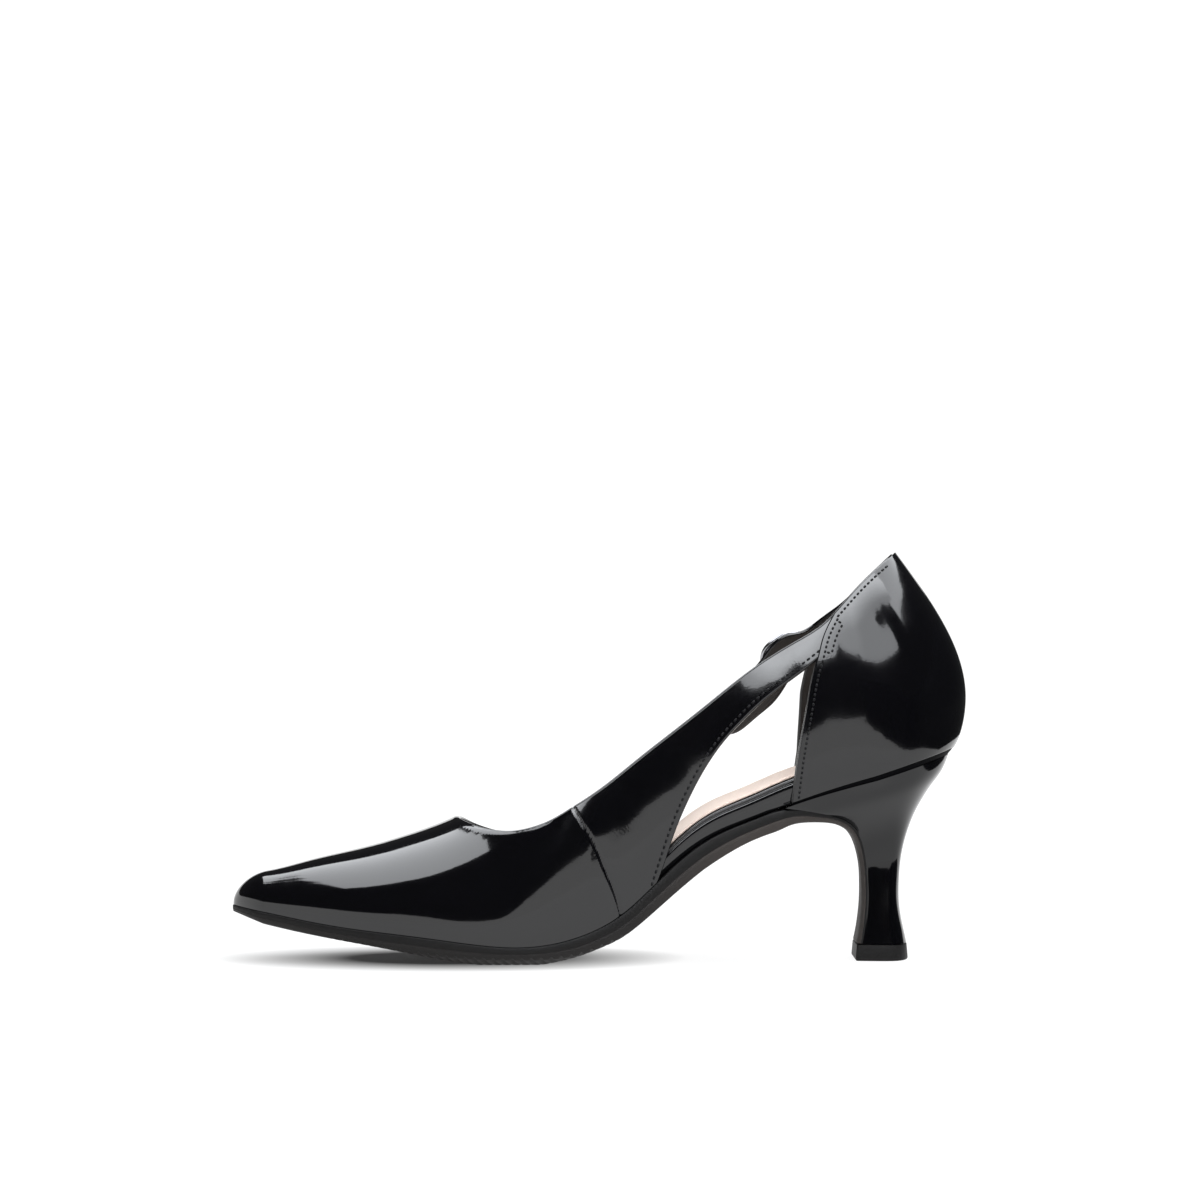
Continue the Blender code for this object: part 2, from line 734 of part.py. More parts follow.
def make_buckle(parts):
    here, direction, across, out = strap_frame()
    lift = out * BUCKLE_LIFT
    ring = []
    for quarter in range(4):
        sx = 1 if quarter in (0, 3) else -1
        sz = 1 if quarter in (0, 1) else -1
        middle = Vector((sx * (BUCKLE_LENGTH / 2 - BUCKLE_CORNER), sz * (BUCKLE_HEIGHT / 2 - BUCKLE_CORNER)))
        for i in range(CORNER_STEPS + 1):
            angle = (quarter + i / CORNER_STEPS) * math.pi / 2
            a = middle.x + BUCKLE_CORNER * math.cos(angle)
            b = middle.y + BUCKLE_CORNER * math.sin(angle)
            ring.append(here + lift + direction * a + across * b)
    tube("buckle_frame", ring, BUCKLE_WIRE, True, parts)
    on_frame = here + lift + out * (BUCKLE_WIRE + PRONG_WIRE + PRONG_CLEARANCE)
    reach = direction * (BUCKLE_LENGTH / 2 + PRONG_WIRE)
    tube("buckle_prong", [on_frame - reach, on_frame + reach], PRONG_WIRE, False, parts)


def main():
    for obj in list(bpy.data.objects):
        bpy.data.objects.remove(obj, do_unlink=True)
    parts = bpy.data.collections.new("court_shoe")
    helpers = bpy.data.collections.new("cutters")
    for collection in (parts, helpers):
        bpy.context.scene.collection.children.link(collection)
    cutters = []
    for outer in (False, True):
        low, high = (-CUTTER_OVERLAP, ACROSS) if outer else (-ACROSS, CUTTER_OVERLAP)
        side = "outer" if outer else "inner"
        cutters.append(prism(f"topline_{side}", topline_outline(outer), low, high, helpers))
        cutters.append(prism(f"window_{side}", window_outline(outer), low, high, helpers))
        cutters.append(prism(f"counter_front_{side}", counter_front_outline(outer), low, high, helpers))
    seat = prism("seat", seat_outline(), -ACROSS, ACROSS, helpers)
    make_outsole(parts)
    make_heel(parts)
    make_top_piece(parts)
    make_insole(parts)
    make_sock(parts)
    toplines, windows, fronts = cutters[0::3], cutters[1::3], cutters[2::3]
    make_upper(parts, toplines + windows)
    make_counter(parts, toplines + fronts + [seat])
    make_buckle(parts)
    shoe = bpy.data.objects.new("court_shoe", None)
    for piece in parts.objects:
        piece.parent = shoe
    parts.objects.link(shoe)


main()
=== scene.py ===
"""Looks of a right-foot patent court shoe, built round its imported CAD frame."""

import math
from collections import namedtuple

import bpy
import numpy as np
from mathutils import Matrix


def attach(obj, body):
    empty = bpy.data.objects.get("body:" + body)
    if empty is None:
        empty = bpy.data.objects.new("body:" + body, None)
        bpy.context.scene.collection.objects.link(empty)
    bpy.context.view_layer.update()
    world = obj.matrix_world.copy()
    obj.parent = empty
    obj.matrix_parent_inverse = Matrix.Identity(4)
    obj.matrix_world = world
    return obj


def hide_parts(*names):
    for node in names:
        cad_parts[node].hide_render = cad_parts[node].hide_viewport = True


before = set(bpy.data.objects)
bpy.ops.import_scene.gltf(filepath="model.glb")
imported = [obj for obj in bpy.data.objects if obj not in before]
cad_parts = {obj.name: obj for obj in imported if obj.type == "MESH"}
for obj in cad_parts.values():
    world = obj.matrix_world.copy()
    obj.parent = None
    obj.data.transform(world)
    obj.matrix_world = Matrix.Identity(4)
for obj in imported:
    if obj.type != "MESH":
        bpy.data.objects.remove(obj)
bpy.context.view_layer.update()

MM = 0.001

# The last, in millimetres, as in the part's source
LENGTH = 243.4
BALL_WIDTH = 76.0
SEAT_HEIGHT = 68.4
WALL = 1.6
GAP = 0.3
COUNTER_THICKNESS = 0.9
TOE_TIP = -LENGTH / 2
TOE_CAP = 4.5
HEEL_START = 87.0
SEAT_BACK = LENGTH / 2 - 6.6

LAST_COLUMNS = ("along", "floor", "half", "swing", "crest", "side", "belly", "crown", "lean")
LAST = (
    (0.0, 18.6, 9.9, -4.6, 27.9, 0.46, 0.8, 0.62, 0.0),
    (5.0, 16.9, 17.6, -4.4, 29.7, 0.49, 1.3, 0.63, 0.0),
    (10.0, 14.9, 25.3, -4.0, 32.8, 0.50, 1.7, 0.62, 0.0),
    (15.0, 13.2, 32.4, -3.5, 35.7, 0.50, 2.2, 0.60, 0.0),
    (20.0, 11.9, 38.3, -2.8, 38.7, 0.49, 2.7, 0.59, 0.0),
    (25.0, 10.7, 43.0, -2.1, 42.5, 0.48, 2.9, 0.59, 0.0),
    (30.0, 9.3, 46.7, -1.3, 47.2, 0.47, 3.1, 0.61, 0.0),
    (35.0, 7.9, 48.9, -0.6, 54.6, 0.45, 3.4, 0.63, 0.0),
    (40.0, 7.5, 50.0, 0.0, 65.0, 0.43, 3.5, 0.74, 0.0),
    (45.0, 9.1, 48.7, 0.5, 79.0, 0.41, 3.4, 0.84, 0.0),
    (50.0, 13.3, 45.1, 0.8, 94.0, 0.39, 3.2, 0.86, 0.0),
    (53.0, 17.6, 42.4, 0.9, 102.0, 0.38, 3.0, 0.84, 0.0),
    (56.0, 23.9, 39.7, 1.0, 109.0, 0.37, 2.9, 0.82, 0.0),
    (60.0, 33.0, 36.5, 1.0, 117.5, 0.36, 2.8, 0.80, 0.0),
    (65.0, 41.8, 33.6, 0.9, 126.0, 0.35, 2.8, 0.78, 0.0),
    (70.0, 47.1, 32.1, 0.6, 131.5, 0.34, 2.8, 0.69, 0.0),
    (76.0, 52.7, 31.6, 0.3, 139.0, 0.32, 3.2, 0.68, -0.03),
    (85.0, 59.3, 32.2, 0.0, 148.0, 0.31, 3.6, 0.61, -0.14),
    (90.0, 62.4, 32.2, 0.0, 152.0, 0.29, 3.8, 0.48, -0.20),
)
# Back of the last: (height, x)
BACK = (
    (68.4, 115.0), (72.0, 117.4), (77.0, 119.4), (82.0, 120.4), (88.0, 120.7), (94.0, 120.0),
    (100.0, 118.4), (106.0, 116.0), (112.0, 112.9), (118.0, 109.3), (124.0, 105.2), (130.0, 100.9),
    (136.0, 96.4), (152.0, 84.0),
)
# Topline of the inner side: (x, height)
TOPLINE = (
    (-47.7, 47.6), (-41.5, 45.7), (-35.5, 44.5), (-29.5, 44.2), (-23.5, 45.2), (-16.5, 47.6),
    (-8.8, 51.7), (2.0, 58.7), (13.0, 67.3), (32.6, 82.5), (52.0, 97.6), (65.0, 105.7),
    (74.0, 111.6), (84.2, 122.4), (98.2, 134.7),
)
# How much higher the outer side's topline lies: (x, rise)
OUTER_TOPLINE = (
    (-47.7, -0.1), (-44.0, -1.9), (-40.0, -3.0), (-35.0, -3.9), (-30.0, -4.4), (-15.0, -4.6),
    (5.0, -4.2), (25.0, -3.6), (42.0, -3.2), (50.0, -3.0), (54.4, -1.4), (58.5, 1.7), (62.8, 2.6),
    (66.0, 1.5), (69.0, 0.5), (75.0, 0.1), (81.6, -2.1), (90.0, -2.3), (98.2, -0.1),
)
# Lower edge of the strap: (x, height)
STRAP_EDGE = (
    (15.0, 14.0), (17.6, 25.0), (20.5, 34.0), (22.8, 41.0), (25.4, 48.0), (29.3, 56.6),
    (34.7, 66.3), (40.1, 73.8), (45.5, 79.7), (50.9, 85.0), (59.0, 91.6), (65.0, 96.0),
    (72.0, 101.4),
)
OUTER_DROP = 6.6
OUTER_DROP_X = 53.0
OUTER_DROP_REACH = 10.5
OUTER_COUNTER_SHIFT = 2.6
OUTER_COUNTER_FADE = 88.0
OUTER_COUNTER_EASE = 20.0
# Front edge of the counter: (height, x)
COUNTER_EDGE = (
    (40.0, 60.8), (52.7, 63.0), (67.7, 65.0), (79.3, 67.1), (87.7, 68.6), (95.0, 70.1),
    (101.4, 71.9), (107.0, 73.4), (113.0, 76.2), (121.0, 81.0),
)
SOLE_COLUMNS = ("along", "rim", "keel")
SOLE = (
    (0.0, 15.3, 14.9),
    (5.0, 13.0, 12.2),
    (10.0, 10.8, 9.8),
    (15.0, 8.8, 7.8),
    (20.0, 7.0, 5.8),
    (25.0, 5.2, 3.5),
    (30.0, 3.8, 1.2),
    (34.0, 3.2, 0.0),
    (38.0, 3.0, 0.0),
    (42.0, 3.1, 0.0),
    (45.0, 3.6, 1.4),
    (48.0, 5.0, 3.5),
    (50.0, 6.7, 5.4),
    (53.0, 10.0, 8.8),
    (56.0, 15.3, 14.3),
    (60.0, 23.6, 22.8),
    (65.0, 33.3, 32.6),
    (70.0, 40.6, 39.8),
    (74.0, 44.1, 43.3),
)
SOLE_LIP = 0.5
SOLE_BEVEL = 1.4
SOLE_NOSE = 0.6
SOLE_WAIST_START = 64.0
SOLE_WAIST_END = 73.0
SOLE_WAIST_TILT = math.radians(16)
SOLE_FLAT = 0.5
FLAP_RIM = 0.8
FLAP_SINK = 0.5

HeelRow = namedtuple("HeelRow", ("front_x", "front_z", "back_x", "back_z", "half", "corner", "power", "sole"))
HEEL = (
    (60.5, 51.3, 116.2, 66.5, 24.2, 0.98, 2.3, 6.2),
    (66.0, 50.2, 114.6, 64.6, 23.0, 0.98, 2.4, 4.3),
    (72.0, 49.1, 112.9, 61.6, 21.2, 0.97, 2.5, 2.9),
    (78.0, 47.6, 110.2, 58.0, 18.4, 0.96, 2.6, 2.1),
    (82.4, 45.2, 107.6, 54.0, 14.9, 0.95, 2.7, 1.9),
    (85.2, 41.8, 104.9, 49.0, 11.1, 0.94, 2.7, 1.7),
    (86.9, 37.4, 102.4, 42.6, 7.9, 0.93, 2.7, 1.6),
    (88.0, 31.6, 100.4, 34.6, 6.75, 0.92, 2.7, 1.5),
    (88.4, 25.0, 99.6, 26.4, 7.6, 0.92, 2.7, 1.5),
    (88.3, 18.5, 99.6, 18.9, 8.5, 0.92, 2.7, 1.5),
    (87.7, 12.4, 100.5, 12.5, 9.35, 0.92, 2.7, 1.5),
    (87.0, 8.0, 101.5, 8.0, 10.0, 0.92, 2.7, 1.5),
    (86.5, 5.6, 102.0, 5.6, 10.35, 0.92, 2.7, 1.5),
)
HEEL = [HeelRow(*row) for row in HEEL]
HEEL_LIP = 0.9
HEEL_WIDEST = 0.55

# Thickness of the insole: (along, thickness)
BOARD = (
    (0.0, 2.0), (30.0, 2.4), (45.0, 2.9), (53.0, 4.9), (58.0, 6.9), (64.0, 7.6), (70.0, 7.6),
    (76.5, 8.2), (82.0, 7.0), (90.0, 5.6), (100.0, 5.0),
)
BOARD_INSET = 2.3
BOARD_FRONT = TOE_TIP + 9.0
SOCK_INSET = 3.6
SOCK_THICKNESS = 0.9
SOCK_FRONT = TOE_TIP + 35.7
SLAB_NOSE = 9.0

BUCKLE_X = 63.8
BUCKLE_Z = 99.9
BUCKLE_SLOPE = math.radians(36.0)
BUCKLE_LENGTH = 17.0
BUCKLE_HEIGHT = 13.6
BUCKLE_CORNER = 6.3
BUCKLE_WIRE = 0.85
BUCKLE_LIFT = 2.05
PRONG_WIRE = 0.7

# Closed seam between vamp and quarter: (height, x)
SEAM = (
    (10.0, 8.6), (17.7, 6.7), (25.7, 4.4), (32.6, 1.5), (39.6, -1.4), (46.5, -5.4), (51.9, -8.5),
    (58.0, -12.4),
)


def smooth_curve(points):
    """A natural cubic spline through rows of (x, y), as a function of x, straight beyond its ends."""
    xs, ys = np.array(points, float).T
    steps = np.diff(xs)
    count = len(xs)
    system = np.eye(count)
    bends = np.zeros(count)
    for i in range(1, count - 1):
        system[i, i - 1 : i + 2] = steps[i - 1], 2 * (steps[i - 1] + steps[i]), steps[i]
        bends[i] = 6 * ((ys[i + 1] - ys[i]) / steps[i] - (ys[i] - ys[i - 1]) / steps[i - 1])
    second = np.linalg.solve(system, bends)

    def inside(x):
        i = np.clip(np.searchsorted(xs, x) - 1, 0, count - 2)
        step = xs[i + 1] - xs[i]
        left = (xs[i + 1] - x) / step
        right = (x - xs[i]) / step
        bend = (left**3 - left) * second[i] + (right**3 - right) * second[i + 1]
        return left * ys[i] + right * ys[i + 1] + bend * step * step / 6

    near = 1e-3
    low_slope = (inside(xs[0] + near) - ys[0]) / near
    high_slope = (ys[-1] - inside(xs[-1] - near)) / near

    def at(x):
        x = np.asarray(x, float)
        held = np.clip(x, xs[0], xs[-1])
        return inside(held) + low_slope * np.minimum(x - xs[0], 0) + high_slope * np.maximum(x - xs[-1], 0)

    return at


def table_curves(columns, rows):
    """One smooth curve for each later column, as a function of the first column."""
    return {name: smooth_curve([(row[0], row[i]) for row in rows]) for i, name in enumerate(columns) if i}


last = table_curves(LAST_COLUMNS, LAST)
back_x = smooth_curve(BACK)
topline_z = smooth_curve(TOPLINE)
outer_rise = smooth_curve(OUTER_TOPLINE)
strap_edge_z = smooth_curve(STRAP_EDGE)
counter_edge_x = smooth_curve(COUNTER_EDGE)
sole = table_curves(SOLE_COLUMNS, SOLE)
board = smooth_curve(BOARD)
seam_x = smooth_curve(SEAM)


def along_of(x):
    return (x - TOE_TIP) / LENGTH * 100


def x_of(along):
    return TOE_TIP + LENGTH * along / 100


def half_width(along):
    return last["half"](along) * BALL_WIDTH / 100


def seat_floor(x):
    """Height of the feather edge at x, on to the back of the seat."""
    start = x_of(HEEL_START)
    part = np.clip((x - start) / (SEAT_BACK - start), 0, 1)
    front = last["floor"](along_of(np.minimum(x, start)))
    return front * (1 - part) + SEAT_HEIGHT * part


def plan_half(x, inset):
    """Half width of the feather outline at x, drawn in by inset, closed at toe and heel."""
    cap = LENGTH * TOE_CAP / 100
    nose = np.clip((x - TOE_TIP - inset) / cap, 0, 1)
    start = x_of(HEEL_START)
    heel = np.clip((x - start) / (SEAT_BACK - inset - start), 0, 1)
    closing = np.sqrt(1 - (1 - nose) ** 2) * np.sqrt(1 - heel**2)
    return np.maximum(0, half_width(np.minimum(along_of(x), HEEL_START)) - inset) * closing


def swing_at(x):
    return last["swing"](np.minimum(along_of(x), HEEL_START))


# The skin of the last: u runs from toe to heel (0 to 3), v from inner feather (-1) over the crest (0)
# to outer feather (1)


def skin_base(u, v):
    """Points of the last, in millimetres."""
    t = 1 - np.abs(v)
    side = np.where(v < 0, -1.0, 1.0)
    nose = np.clip(u, 0, 1) * math.pi / 2
    along = np.where(u <= 1, TOE_CAP * (1 - np.cos(nose)), 0)
    along = np.where(u > 1, TOE_CAP + (HEEL_START - TOE_CAP) * np.clip(u - 1, 0, 1), along)
    closing = np.sin(nose)
    half = half_width(along) * closing
    floor = last["floor"](along)
    rise = (last["crest"](along) - floor) * closing
    first, second, end = 3 * t * (1 - t) ** 2, 3 * (1 - t) * t**2, t**3
    out = ((1 - t) ** 3 + first) * half + first * last["belly"](along) * closing
    out = out + second * last["crown"](along) * half
    z = floor + first * last["side"](along) * rise + (second + end) * rise
    x = x_of(along) + last["lean"](along) * (z - floor)
    turn = np.clip(u - 2, 0, 1) * math.pi / 2
    reach = np.sin(turn)
    z_back = SEAT_HEIGHT + (z - floor) * (BACK[-1][0] - SEAT_HEIGHT) / (last["crest"](along) - floor)
    x = x + (back_x(z_back) - x) * reach
    z = z + (z_back - z) * reach
    y = last["swing"](along) + side * out * np.cos(turn)
    return np.stack([x, y, z], axis=-1)


STEP_U = 2e-4
STEP_V = 4e-4
JOIN_STEP = 0.03
JOIN_REACH = 0.05


def normals_of(surface, u, v):
    """Outward unit normals of a surface given as a function of u and v."""
    step = STEP_U + JOIN_STEP * np.exp(-(((u - 2) / JOIN_REACH) ** 2))
    u0, u1 = np.maximum(u - step, 1e-4), np.minimum(u + step, 3)
    lengthwise = surface(u1, v) - surface(u0, v)
    v0, v1 = np.maximum(v - STEP_V, -1), np.minimum(v + STEP_V, 1)
    across = surface(u, v1) - surface(u, v0)
    normal = np.cross(lengthwise, across)
    return normal / np.maximum(np.linalg.norm(normal, axis=-1, keepdims=True), 1e-12)


def offset_skin(u, v, offset):
    """The last's skin moved out by offset, which is a function of the skin's points and their side."""
    points = skin_base(u, v)
    return points + normals_of(skin_base, u, v) * offset(points, v)[..., None]


# Trimming: each field is positive where the skin is kept

THROAT_SLOPE = 4.0


def strap_drop(x, v):
    """How much lower the outer strap's edge lies at x, where the strap end hangs at the buckle."""
    drop = OUTER_DROP * np.exp(-(((x - OUTER_DROP_X) / OUTER_DROP_REACH) ** 4))
    return np.where(v > 0, drop, 0)


def counter_front(z, v):
    """Front edge of the counter at a height. It is more upright on the outer side."""
    fade = np.clip((OUTER_COUNTER_FADE - z) / OUTER_COUNTER_EASE, 0, 1)
    return counter_edge_x(z) + np.where(v > 0, OUTER_COUNTER_SHIFT * fade, 0)


def below_topline(points, v):
    x, z = points[..., 0], points[..., 2]
    start = TOPLINE[0][0]
    line = topline_z(np.maximum(x, start)) + THROAT_SLOPE * np.maximum(start - x, 0)
    rise = outer_rise(np.clip(x, start, OUTER_TOPLINE[-1][0]))
    return line + np.where(v > 0, rise, 0) - z


def under_strap(points, v):
    return strap_edge_z(points[..., 0]) - strap_drop(points[..., 0], v) - points[..., 2]


def behind_front(points, v):
    return points[..., 0] - counter_front(points[..., 2], v)


def outside_window(points, v):
    return -np.minimum(under_strap(points, v), -behind_front(points, v))


def above_seat(points, v):
    return points[..., 2] - seat_floor(points[..., 0])


def clip_polygons(polygons, params, fields):
    """Cuts polygons in the plane of u and v along the zero lines of the fields, one field after another."""
    params = [tuple(p) for p in params]
    for field in fields:
        uv = np.array(params)
        value = field(skin_base(uv[:, 0], uv[:, 1]), uv[:, 1])
        kept = []
        made = {}

        def crossing(i, j):
            key = (min(i, j), max(i, j))
            if key not in made:
                low, high = (i, j) if value[i] < 0 else (j, i)
                a, b = np.array(params[low]), np.array(params[high])
                fa, fb = value[low], value[high]
                place = (a * fb - b * fa) / (fb - fa)
                made[key] = len(params)
                params.append(tuple(place))
            return made[key]

        for polygon in polygons:
            inside = [value[i] > 0 for i in polygon]
            if all(inside):
                kept.append(polygon)
                continue
            if not any(inside):
                continue
            loop = []
            for k, i in enumerate(polygon):
                j = polygon[(k + 1) % len(polygon)]
                if inside[k]:
                    loop.append(i)
                if inside[k] != inside[(k + 1) % len(polygon)]:
                    loop.append(crossing(i, j))
            if len(loop) > 2:
                kept.append(loop)
        polygons = kept
    return polygons, np.array(params)


def skin_grid(us, vs, fields):
    """A grid over the skin, closed at the back of the heel and trimmed by the fields."""
    grid_u, grid_v = np.meshgrid(us, vs, indexing="ij")
    params = np.stack([grid_u.ravel(), grid_v.ravel()], axis=1)
    count = len(vs)
    index = np.arange(len(params)).reshape(len(us), count)
    if us[-1] >= 3:
        index[-1, : count // 2] = index[-1, ::-1][: count // 2]
    corners = (index[:-1, :-1], index[1:, :-1], index[1:, 1:], index[:-1, 1:])
    quads = np.stack([c.ravel() for c in corners], axis=1)
    return clip_polygons([list(q) for q in quads], params, fields)


def rim_of(polygons):
    """The directed edges that only one polygon uses."""
    seen = {}
    for polygon in polygons:
        for i, j in zip(polygon, polygon[1:] + polygon[:1]):
            if (j, i) in seen:
                del seen[(j, i)]
            else:
                seen[(i, j)] = True
    return list(seen)


RIM_STEPS = 6
RIM_SMOOTHING = 4
TINY = 1e-9


def shell(us, vs, fields, outer, inner):
    """A closed shell between two offsets of the last's skin, with half-round edges all along its rim.

    Returns points, faces, normals and, for each face, 0 outside, 1 on the edge or 2 inside.
    """
    polygons, params = skin_grid(us, vs, fields)
    used = np.unique(np.concatenate([np.array(p) for p in polygons]))
    renumber = -np.ones(len(params), int)
    renumber[used] = np.arange(len(used))
    polygons = [[int(renumber[i]) for i in p] for p in polygons]
    u, v = params[used].T
    top = offset_skin(u, v, outer)
    low = offset_skin(u, v, inner)
    top_normal = normals_of(lambda a, b: offset_skin(a, b, outer), u, v)
    low_normal = -normals_of(skin_base, u, v)
    back = u >= 3
    for normal in (top_normal, low_normal):
        normal[back, 1] = 0
        normal[back] /= np.linalg.norm(normal[back], axis=1, keepdims=True)
    edges = rim_of(polygons)
    rim = sorted({i for edge in edges for i in edge})
    place = {i: k for k, i in enumerate(rim)}
    along = np.zeros((len(rim), 3))
    links = [[] for _ in rim]
    for i, j in edges:
        run = top[j] - top[i]
        run = run / max(np.linalg.norm(run), TINY)
        along[place[i]] += run
        along[place[j]] += run
        links[place[i]].append(place[j])
        links[place[j]].append(place[i])
    for _ in range(RIM_SMOOTHING):
        along = np.array([along[k] + sum((along[m] for m in links[k]), np.zeros(3)) for k in range(len(rim))])
        along /= np.maximum(np.linalg.norm(along, axis=1, keepdims=True), TINY)
    out = np.cross(along, -low_normal[rim])
    out /= np.maximum(np.linalg.norm(out, axis=1, keepdims=True), TINY)
    middle = (top[rim] + low[rim]) / 2
    lift = (top[rim] - low[rim]) / 2
    radius = np.linalg.norm(lift, axis=1, keepdims=True)
    points = [top, low]
    normals = [top_normal, low_normal]
    rows = [np.array(rim)]
    total = 2 * len(top)
    for step in range(1, RIM_STEPS):
        angle = math.pi * step / RIM_STEPS
        points.append(middle + lift * math.cos(angle) + out * radius * math.sin(angle))
        normals.append(-low_normal[rim] * math.cos(angle) + out * math.sin(angle))
        rows.append(np.arange(len(rim)) + total)
        total += len(rim)
    rows.append(np.array(rim) + len(top))
    faces = list(polygons)
    kinds = [0] * len(polygons)
    faces += [[i + len(top) for i in reversed(p)] for p in polygons]
    kinds += [2] * len(polygons)
    for i, j in edges:
        a, b = place[i], place[j]
        for near, far in zip(rows, rows[1:]):
            faces.append([int(near[b]), int(near[a]), int(far[a]), int(far[b])])
            kinds.append(1)
    return np.concatenate(points), faces, np.concatenate(normals), kinds


def add_mesh(name, points, faces, materials, normals=None, kinds=None, crease=None):
    """A smooth object from points in millimetres. Edges that bend by more than crease stay sharp."""
    mesh = bpy.data.meshes.new(name)
    mesh.from_pydata((np.asarray(points) * MM).tolist(), [], [list(map(int, f)) for f in faces])
    for material in materials:
        mesh.materials.append(material)
    if kinds is not None:
        mesh.polygons.foreach_set("material_index", np.asarray(kinds, np.int32))
    mesh.validate()
    mesh.shade_smooth()
    if crease:
        mesh.set_sharp_from_angle(angle=crease)
    if normals is not None and len(mesh.vertices) == len(normals):
        mesh.normals_split_custom_set_from_vertices(np.asarray(normals).tolist())
    mesh.update()
    piece = bpy.data.objects.new(name, mesh)
    bpy.context.scene.collection.objects.link(piece)
    return piece


def settle(piece, slot, *nodes):
    """Rides a piece on the shoe and hides the CAD nodes it stands for. The slot is not used."""
    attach(piece, "root")
    if nodes:
        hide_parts(*nodes)
    return piece


def grid_faces(rows, count):
    """Quads between closed rows of points of equal count."""
    faces = []
    for a in range(0, (rows - 1) * count, count):
        for i in range(count):
            j = (i + 1) % count
            faces.append([a + i, a + j, a + count + j, a + count + i])
    return faces


def cap_faces(first, count, flip):
    """Strips across a loop of points, between its first half and its second half."""
    low, high = first, first + count - 1
    faces = []
    while high - low > 2:
        faces.append([low, low + 1, high - 1, high])
        low += 1
        high -= 1
    if high - low == 2:
        faces.append([low, low + 1, high])
    return [f[::-1] for f in faces] if flip else faces


def end_caps(rows, count):
    return cap_faces(0, count, True) + cap_faces((rows - 1) * count, count, False)


def resampled(values, factor):
    """Rows of numbers made finer by natural splines over their running distance."""
    values = np.asarray(values, float)
    flat = values.reshape(len(values), -1)
    distance = np.concatenate([[0], np.cumsum(np.linalg.norm(np.diff(flat, axis=0), axis=1))])
    last_row = len(values) - 1
    wanted = np.interp(np.linspace(0, last_row, last_row * factor + 1), range(len(values)), distance)
    columns = [smooth_curve(np.stack([distance, column], axis=1))(wanted) for column in flat.T]
    return np.stack(columns, axis=1).reshape((len(wanted),) + values.shape[1:])


# Materials

PATENT_BLACK = (0.0010, 0.0010, 0.0016)
LINING_BROWN = (0.011, 0.0082, 0.0064)
# Dark rubber: the heel tip's own colour, and painted shade on the outsole's upper band
RUBBER_DARK = (0.0065, 0.0062, 0.0062)
RUBBER_GREY = (0.016, 0.0148, 0.0144)
# Lighter, browner rubber of the waist: the brown is its own tone, and the lightness is painted light from the
# floor
BROWN_LIT_WAIST_RUBBER = (0.046, 0.040, 0.037)
WAIST_LIGHT_FROM, WAIST_LIGHT_TO = 0.012, 0.045
SUEDE_BEIGE = (0.66, 0.535, 0.455)
STEEL_GREY = (0.42, 0.42, 0.44)
# Painted reflection: a near-black edge tint that darkens the steel's rims at grazing angles
STEEL_DARK_RIM_TINT = (0.1, 0.1, 0.11, 1.0)
THREAD_BLACK = (0.006, 0.006, 0.007)
FLOOR_WHITE = (0.06, 0.06, 0.06)


class Surface:
    """A Principled material with small helpers for its nodes."""

    def __init__(self, name, colour, roughness, **sockets):
        self.material = bpy.data.materials.new(name)
        self.material.use_nodes = True
        self.nodes = self.material.node_tree.nodes
        self.links = self.material.node_tree.links
        self.shader = self.nodes["Principled BSDF"]
        self.shader.inputs["Base Color"].default_value = (*colour, 1)
        self.shader.inputs["Roughness"].default_value = roughness
        self.set(self.shader, sockets)
        self.material.diffuse_color = (*colour, 1)
        self.place = self.node("TexCoord").outputs["Object"]

    def set(self, node, sockets):
        for socket, value in sockets.items():
            node.inputs[socket.replace("_", " ")].default_value = value

    def node(self, kind, **sockets):
        node = self.nodes.new("ShaderNode" + kind)
        self.set(node, sockets)
        return node

    def noise(self, scale, detail=2.0):
        node = self.node("TexNoise", Scale=scale, Detail=detail)
        self.links.new(self.place, node.inputs["Vector"])
        return node.outputs["Fac"]

    def spread(self, value, low, high, first=0.0, last=1.0):
        """Value taken from the range first to last onto the range low to high."""
        node = self.node("MapRange", From_Min=first, From_Max=last, To_Min=low, To_Max=high)
        self.links.new(value, node.inputs["Value"])
        return node.outputs["Result"]

    def join(self, operation, a, b):
        node = self.node("Math")
        node.operation = operation
        self.links.new(a, node.inputs[0])
        self.links.new(b, node.inputs[1])
        return node.outputs["Value"]

    def vary_colour(self, value, low, high):
        node = self.node("Mix")
        node.data_type = "RGBA"
        node.inputs[6].default_value = (*low, 1)
        node.inputs[7].default_value = (*high, 1)
        self.links.new(value, node.inputs[0])
        self.links.new(node.outputs[2], self.shader.inputs["Base Color"])

    def vary_roughness(self, value, low, high):
        self.links.new(self.spread(value, low, high), self.shader.inputs["Roughness"])

    def shine(self, colour, strength):
        self.set(self.shader, {"Emission Color": (*colour, 1)})
        self.links.new(strength, self.shader.inputs["Emission Strength"])
        return self.material

    def bump(self, value, depth, coat=False):
        """Raises the surface by value times depth in metres, over any bump before it."""
        node = self.node("Bump", Distance=depth)
        self.links.new(value, node.inputs["Height"])
        before = self.shader.inputs["Normal"].links
        if before:
            self.links.new(before[0].from_socket, node.inputs["Normal"])
        self.links.new(node.outputs["Normal"], self.shader.inputs["Normal"])
        if coat:
            self.links.new(node.outputs["Normal"], self.shader.inputs["Coat Normal"])


def scaled(colour, factor):
    return tuple(c * factor for c in colour)


def finish(name, colour, roughness, mottle=None, gloss=None, bumps=(), coat=False, **sockets):
    """A surface with noise in colour and gloss (scale, detail, low, high) and bumps (scale, detail, depth)."""
    surface = Surface(name, colour, roughness, **sockets)
    if mottle:
        *grain, low, high = mottle
        surface.vary_colour(surface.noise(*grain), scaled(colour, low), scaled(colour, high))
    if gloss:
        *grain, low, high = gloss
        surface.vary_roughness(surface.noise(*grain), low, high)
    for *grain, depth in bumps:
        surface.bump(surface.noise(*grain), depth, coat)
    return surface


